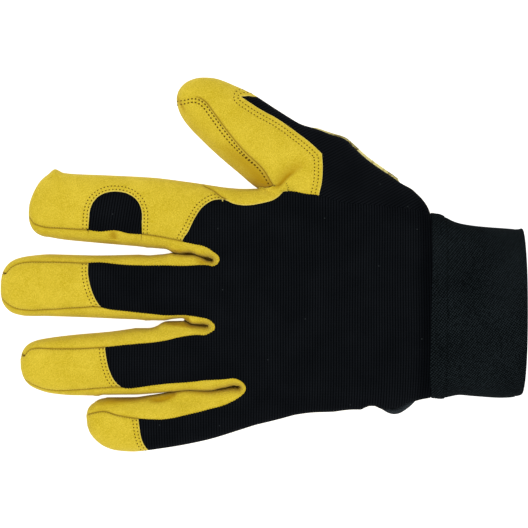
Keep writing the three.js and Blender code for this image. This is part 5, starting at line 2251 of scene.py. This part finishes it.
@dataclass
class Stitching:
    """The visible threads, laid on the finished panels.

    Args:
        shop: turns plans into objects.
        pattern: the plan of the panels.
        pieces: the finished panels by name.
        step: step of the points along a seam.
        rounds: how many times a seam is smoothed.
        meeting: distances from a row's foot where two rows begin to part, and are apart.
        together: how far they lie from the seam where they run together.
        steepest: least upward share of the normal where a stitch shows.
        lift: height of the stitches over the leather, in metres.
    """

    shop: Workshop
    pattern: Pattern
    pieces: dict[str, Object]
    step: float = 0.3
    rounds: int = 12
    meeting: tuple[float, float] = (8.0, 34.0)
    together: float = 1.3
    steepest: float = 0.15
    lift: float = 0.00004

    def row_points(self, row: Row) -> list[tuple[Array, Array]]:
        """Where a row's stitches lie in plan.

        Args:
            row: the row.

        Returns:
            The middle and the direction of each stitch.
        """
        one, two = NUMBER[row.panel], NUMBER[row.other]
        found = []
        for line in self.pattern.chains(one, two):
            if len(line) < 8:
                continue
            line = spaced(line, self.step, closed=False)
            for _ in range(self.rounds):
                line[1:-1] = (line[:-2] + 2 * line[1:-1] + line[2:]) / 4
            away = np.full((len(line), 1), row.away)
            if row.foot:
                gone = np.linalg.norm(line - row.foot, axis=1)[:, None]
                away = self.together + (away - self.together) * smoothstep(*self.meeting, gone)
            offset = line + away * leftwards(unit(np.gradient(line, axis=0)))
            offset = spaced(offset, row.pitch, closed=False)
            middle = (offset[1:] + offset[:-1]) / 2
            run = unit(offset[1:] - offset[:-1])
            ok = self.pattern.panel_at(middle) == one
            if row.foot and row.away > 2.5:
                ok &= np.linalg.norm(middle - row.foot, axis=1) > 15.0
            if row.circle:
                ok &= np.linalg.norm(middle - row.circle[:2], axis=1) < row.circle[2]
            found += list(zip(middle[ok], run[ok]))
        return found

    def sew(self, name: str, rows: list[Row], material: Material,
            slot: str) -> None:
        """Lays rows of stitches on their panels as one piece.

        Args:
            name: the piece's name.
            rows: the rows.
            material: the thread's material.
            slot: the name of the thread's finish, handed on to the piece's dressing.
        """
        threads = Needlework(self.shop, self.lift)
        trees = {row.panel: tree_of(self.pieces[row.panel]) for row in rows}
        for row in rows:
            for middle, run in self.row_points(row):
                start = self.shop.to_row(np.array((*middle, 60.0)))
                spot, normal, _, _ = trees[row.panel].ray_cast(
                    Vector(start), Vector((0, 0, -1)))
                if spot is not None and normal.z >= self.steepest:
                    threads.lay(spot, normal, np.array((*run, 0.0)),
                                (row.length, row.thickness))
        threads.finish(name, material, slot)


@dataclass
class CuffStitching:
    """The row of slanting stitches round the cuff's strip.

    Args:
        shop: turns plans into objects.
        cuff: the cuff.
        piece: the finished cuff.
        pitch: from one stitch to the next.
        length: length of a stitch.
        thickness: the thread's thickness.
        slant: turn of the stitches to one side and the other in turn, in degrees.
        lowest: height from which the row is sewn.
        lift: height of the stitches over the cloth, in metres.
    """

    shop: Workshop
    cuff: Cuff
    piece: Object
    pitch: float = 1.7
    length: float = 1.25
    thickness: float = 0.3
    slant: float = 24.0
    lowest: float = 1.5
    lift: float = 0.00003

    def build(self, material: Material) -> None:
        """Lays the stitches on the cuff."""
        threads = Needlework(self.shop, self.lift)
        tree = tree_of(self.piece)
        ring = self.cuff.surface(np.array([self.cuff.row]))[0]
        ring = np.concatenate([ring, ring[:1]])
        way = lengthways(ring)
        at = np.arange(0, way[-1] - self.pitch / 2, self.pitch)
        spots, after = (np.stack([np.interp(place, way, ring[:, i]) for i in range(3)], 1)
                        for place in (at, at + 0.1))
        for i, (spot, then) in enumerate(zip(spots, after)):
            if spot[2] >= self.lowest:
                hit, normal, _, _ = tree.find_nearest(Vector(self.shop.to_row(spot)))
                ahead = (then - spot) / np.linalg.norm(then - spot)
                threads.lay(hit, normal, ahead, (self.length, self.thickness),
                            self.slant if i % 2 else -self.slant)
        threads.finish("cuff_stitching", material, Finish.ELASTIC.value)


@dataclass(frozen=True)
class Studio:
    """The pale floor, the soft lights and the camera straight above the glove.

    Args:
        camera_height: the camera's height above the floor, in metres.
        camera_place: its place in plan, in metres.
        lens: its focal length in millimetres on a 36 mm sensor.
    """

    camera_height: float = 0.7575
    camera_place: tuple[float, float] = (0.00142, 0.00021)
    lens: float = 111.2
    floor_size: float = 4.0
    key_power: float = 6.0
    fill_power: float = 2.6
    sky: float = 0.81

    def build(self) -> None:
        """Builds the studio."""
        bpy.ops.object.select_all(action="DESELECT")
        bpy.ops.mesh.primitive_plane_add(size=self.floor_size, location=(0, 0, -0.0002))
        floor = bpy.context.object
        floor.name = "floor"
        shader = Shader("pale_floor")
        grain = shader.spread(shader.noise(30, 2), 0.3, 0.7)
        colour = shader.mix(grain, (0.50, 0.50, 0.50), (0.52, 0.52, 0.52))
        shader.paint(colour)
        shader.set(Roughness=0.9, Specular_IOR_Level=0.1, Emission_Strength=0.85,
                   Emission_Color=(1.0, 1.0, 1.0, 1.0))
        floor.data.materials.append(shader.material)
        self.lamp("key", (-0.1, -0.35, 1.15), 0.9, self.key_power)
        self.lamp("fill", (-0.3, 0.6, 1.0), 1.1, self.fill_power)
        world = bpy.data.worlds.new("studio")
        bpy.context.scene.world = world
        world.use_nodes = True
        background = world.node_tree.nodes["Background"]
        background.inputs["Color"].default_value = (1.0, 1.0, 1.0, 1.0)
        background.inputs["Strength"].default_value = self.sky
        settings = bpy.context.scene.view_settings
        settings.view_transform = "Standard"
        settings.look = "None"
        camera = bpy.data.cameras.new("camera")
        camera.lens = self.lens
        camera.sensor_width = 36.0
        camera.clip_start, camera.clip_end = 0.01, 20.0
        made = bpy.data.objects.new("camera", camera)
        made.location = (*self.camera_place, self.camera_height)
        bpy.context.scene.collection.objects.link(made)
        bpy.context.scene.camera = made

    @staticmethod
    def lamp(name: str, place: Triple, size: float, power: float) -> None:
        """A square soft light that faces the glove."""
        light = bpy.data.lights.new(name, "AREA")
        light.shape = "SQUARE"
        light.size = size
        light.energy = power
        made = bpy.data.objects.new(name, light)
        made.location = place
        made.rotation_euler = (-Vector(place)).to_track_quat("-Z", "Y").to_euler()
        bpy.context.scene.collection.objects.link(made)


def lapped_rows(relief: Relief) -> list[Row]:
    """The rows of stitches beside the lapped edges, the thumb's seam and the slits.

    Args:
        relief: the relief, which has dents under the rows.

    Returns:
        The rows in the order in which they are sewn.
    """
    rows = []
    for panel, other in (("index_cap", "index_knuckle_panel"), ("index_cap", "back_panel"),
                         ("middle_cap", "back_panel"), ("ring_cap", "back_panel"),
                         ("little_cap", "back_panel"), ("thumb_back", "thumb_side_panel")):
        rows += [Row(panel, other, away) for away in relief.rows_of(panel)]
    rows += [Row("thumb_front", "thumb_back", away, 1.7, 1.0, 0.62, foot=(-72.0, 54.0))
             for away in relief.rows_of("thumb_front")]
    rows += [Row(f"{finger}_cap", f"{name}_gusset", 0.45, 1.15, 0.35, 0.22)
             for name in SLITS for finger in name.split("_")]
    rows.append(Row("thumb_back", "thumb_web", 0.5, 0.95, 0.55, 0.25, circle=(-65.8, 53.8, 2.0)))
    return rows


def main() -> None:
    """Builds the glove's pieces in order, then the studio."""
    form = GloveForm()
    shop = Workshop()
    pattern = Pattern(form)
    LOG.info("plan: %d triangles", len(pattern.faces))
    suede = Suede().build()
    materials = {Finish.SUEDE: suede, Finish.KNIT: RibKnit().build(),
                 Finish.ELASTIC: ElasticTwill().build()}
    sole = Sole(form, shop, pattern, suede)
    upper = Upper(form, pattern, shop, materials)
    upper.build(sole)
    sole.build()
    cuff = Cuff(shop, materials[Finish.ELASTIC])
    cuff_piece = cuff.build()
    tape = ElasticTwill("black_binding_tape", (0.052, 0.062, 0.070), (0.014, 0.017, 0.020))
    VentBinding(shop, tape.build()).build()
    thread = Thread("brown_thread", (0.135, 0.070, 0.004)).build()
    black = Thread("black_thread", (0.007, 0.010, 0.011)).build()
    stitching = Stitching(shop, pattern, upper.pieces)
    stitching.sew("leather_stitching", lapped_rows(upper.relief), thread, Finish.SUEDE.value)
    CuffStitching(shop, cuff, cuff_piece).build(black)
    Studio().build()


if __name__ == "__main__":
    main()
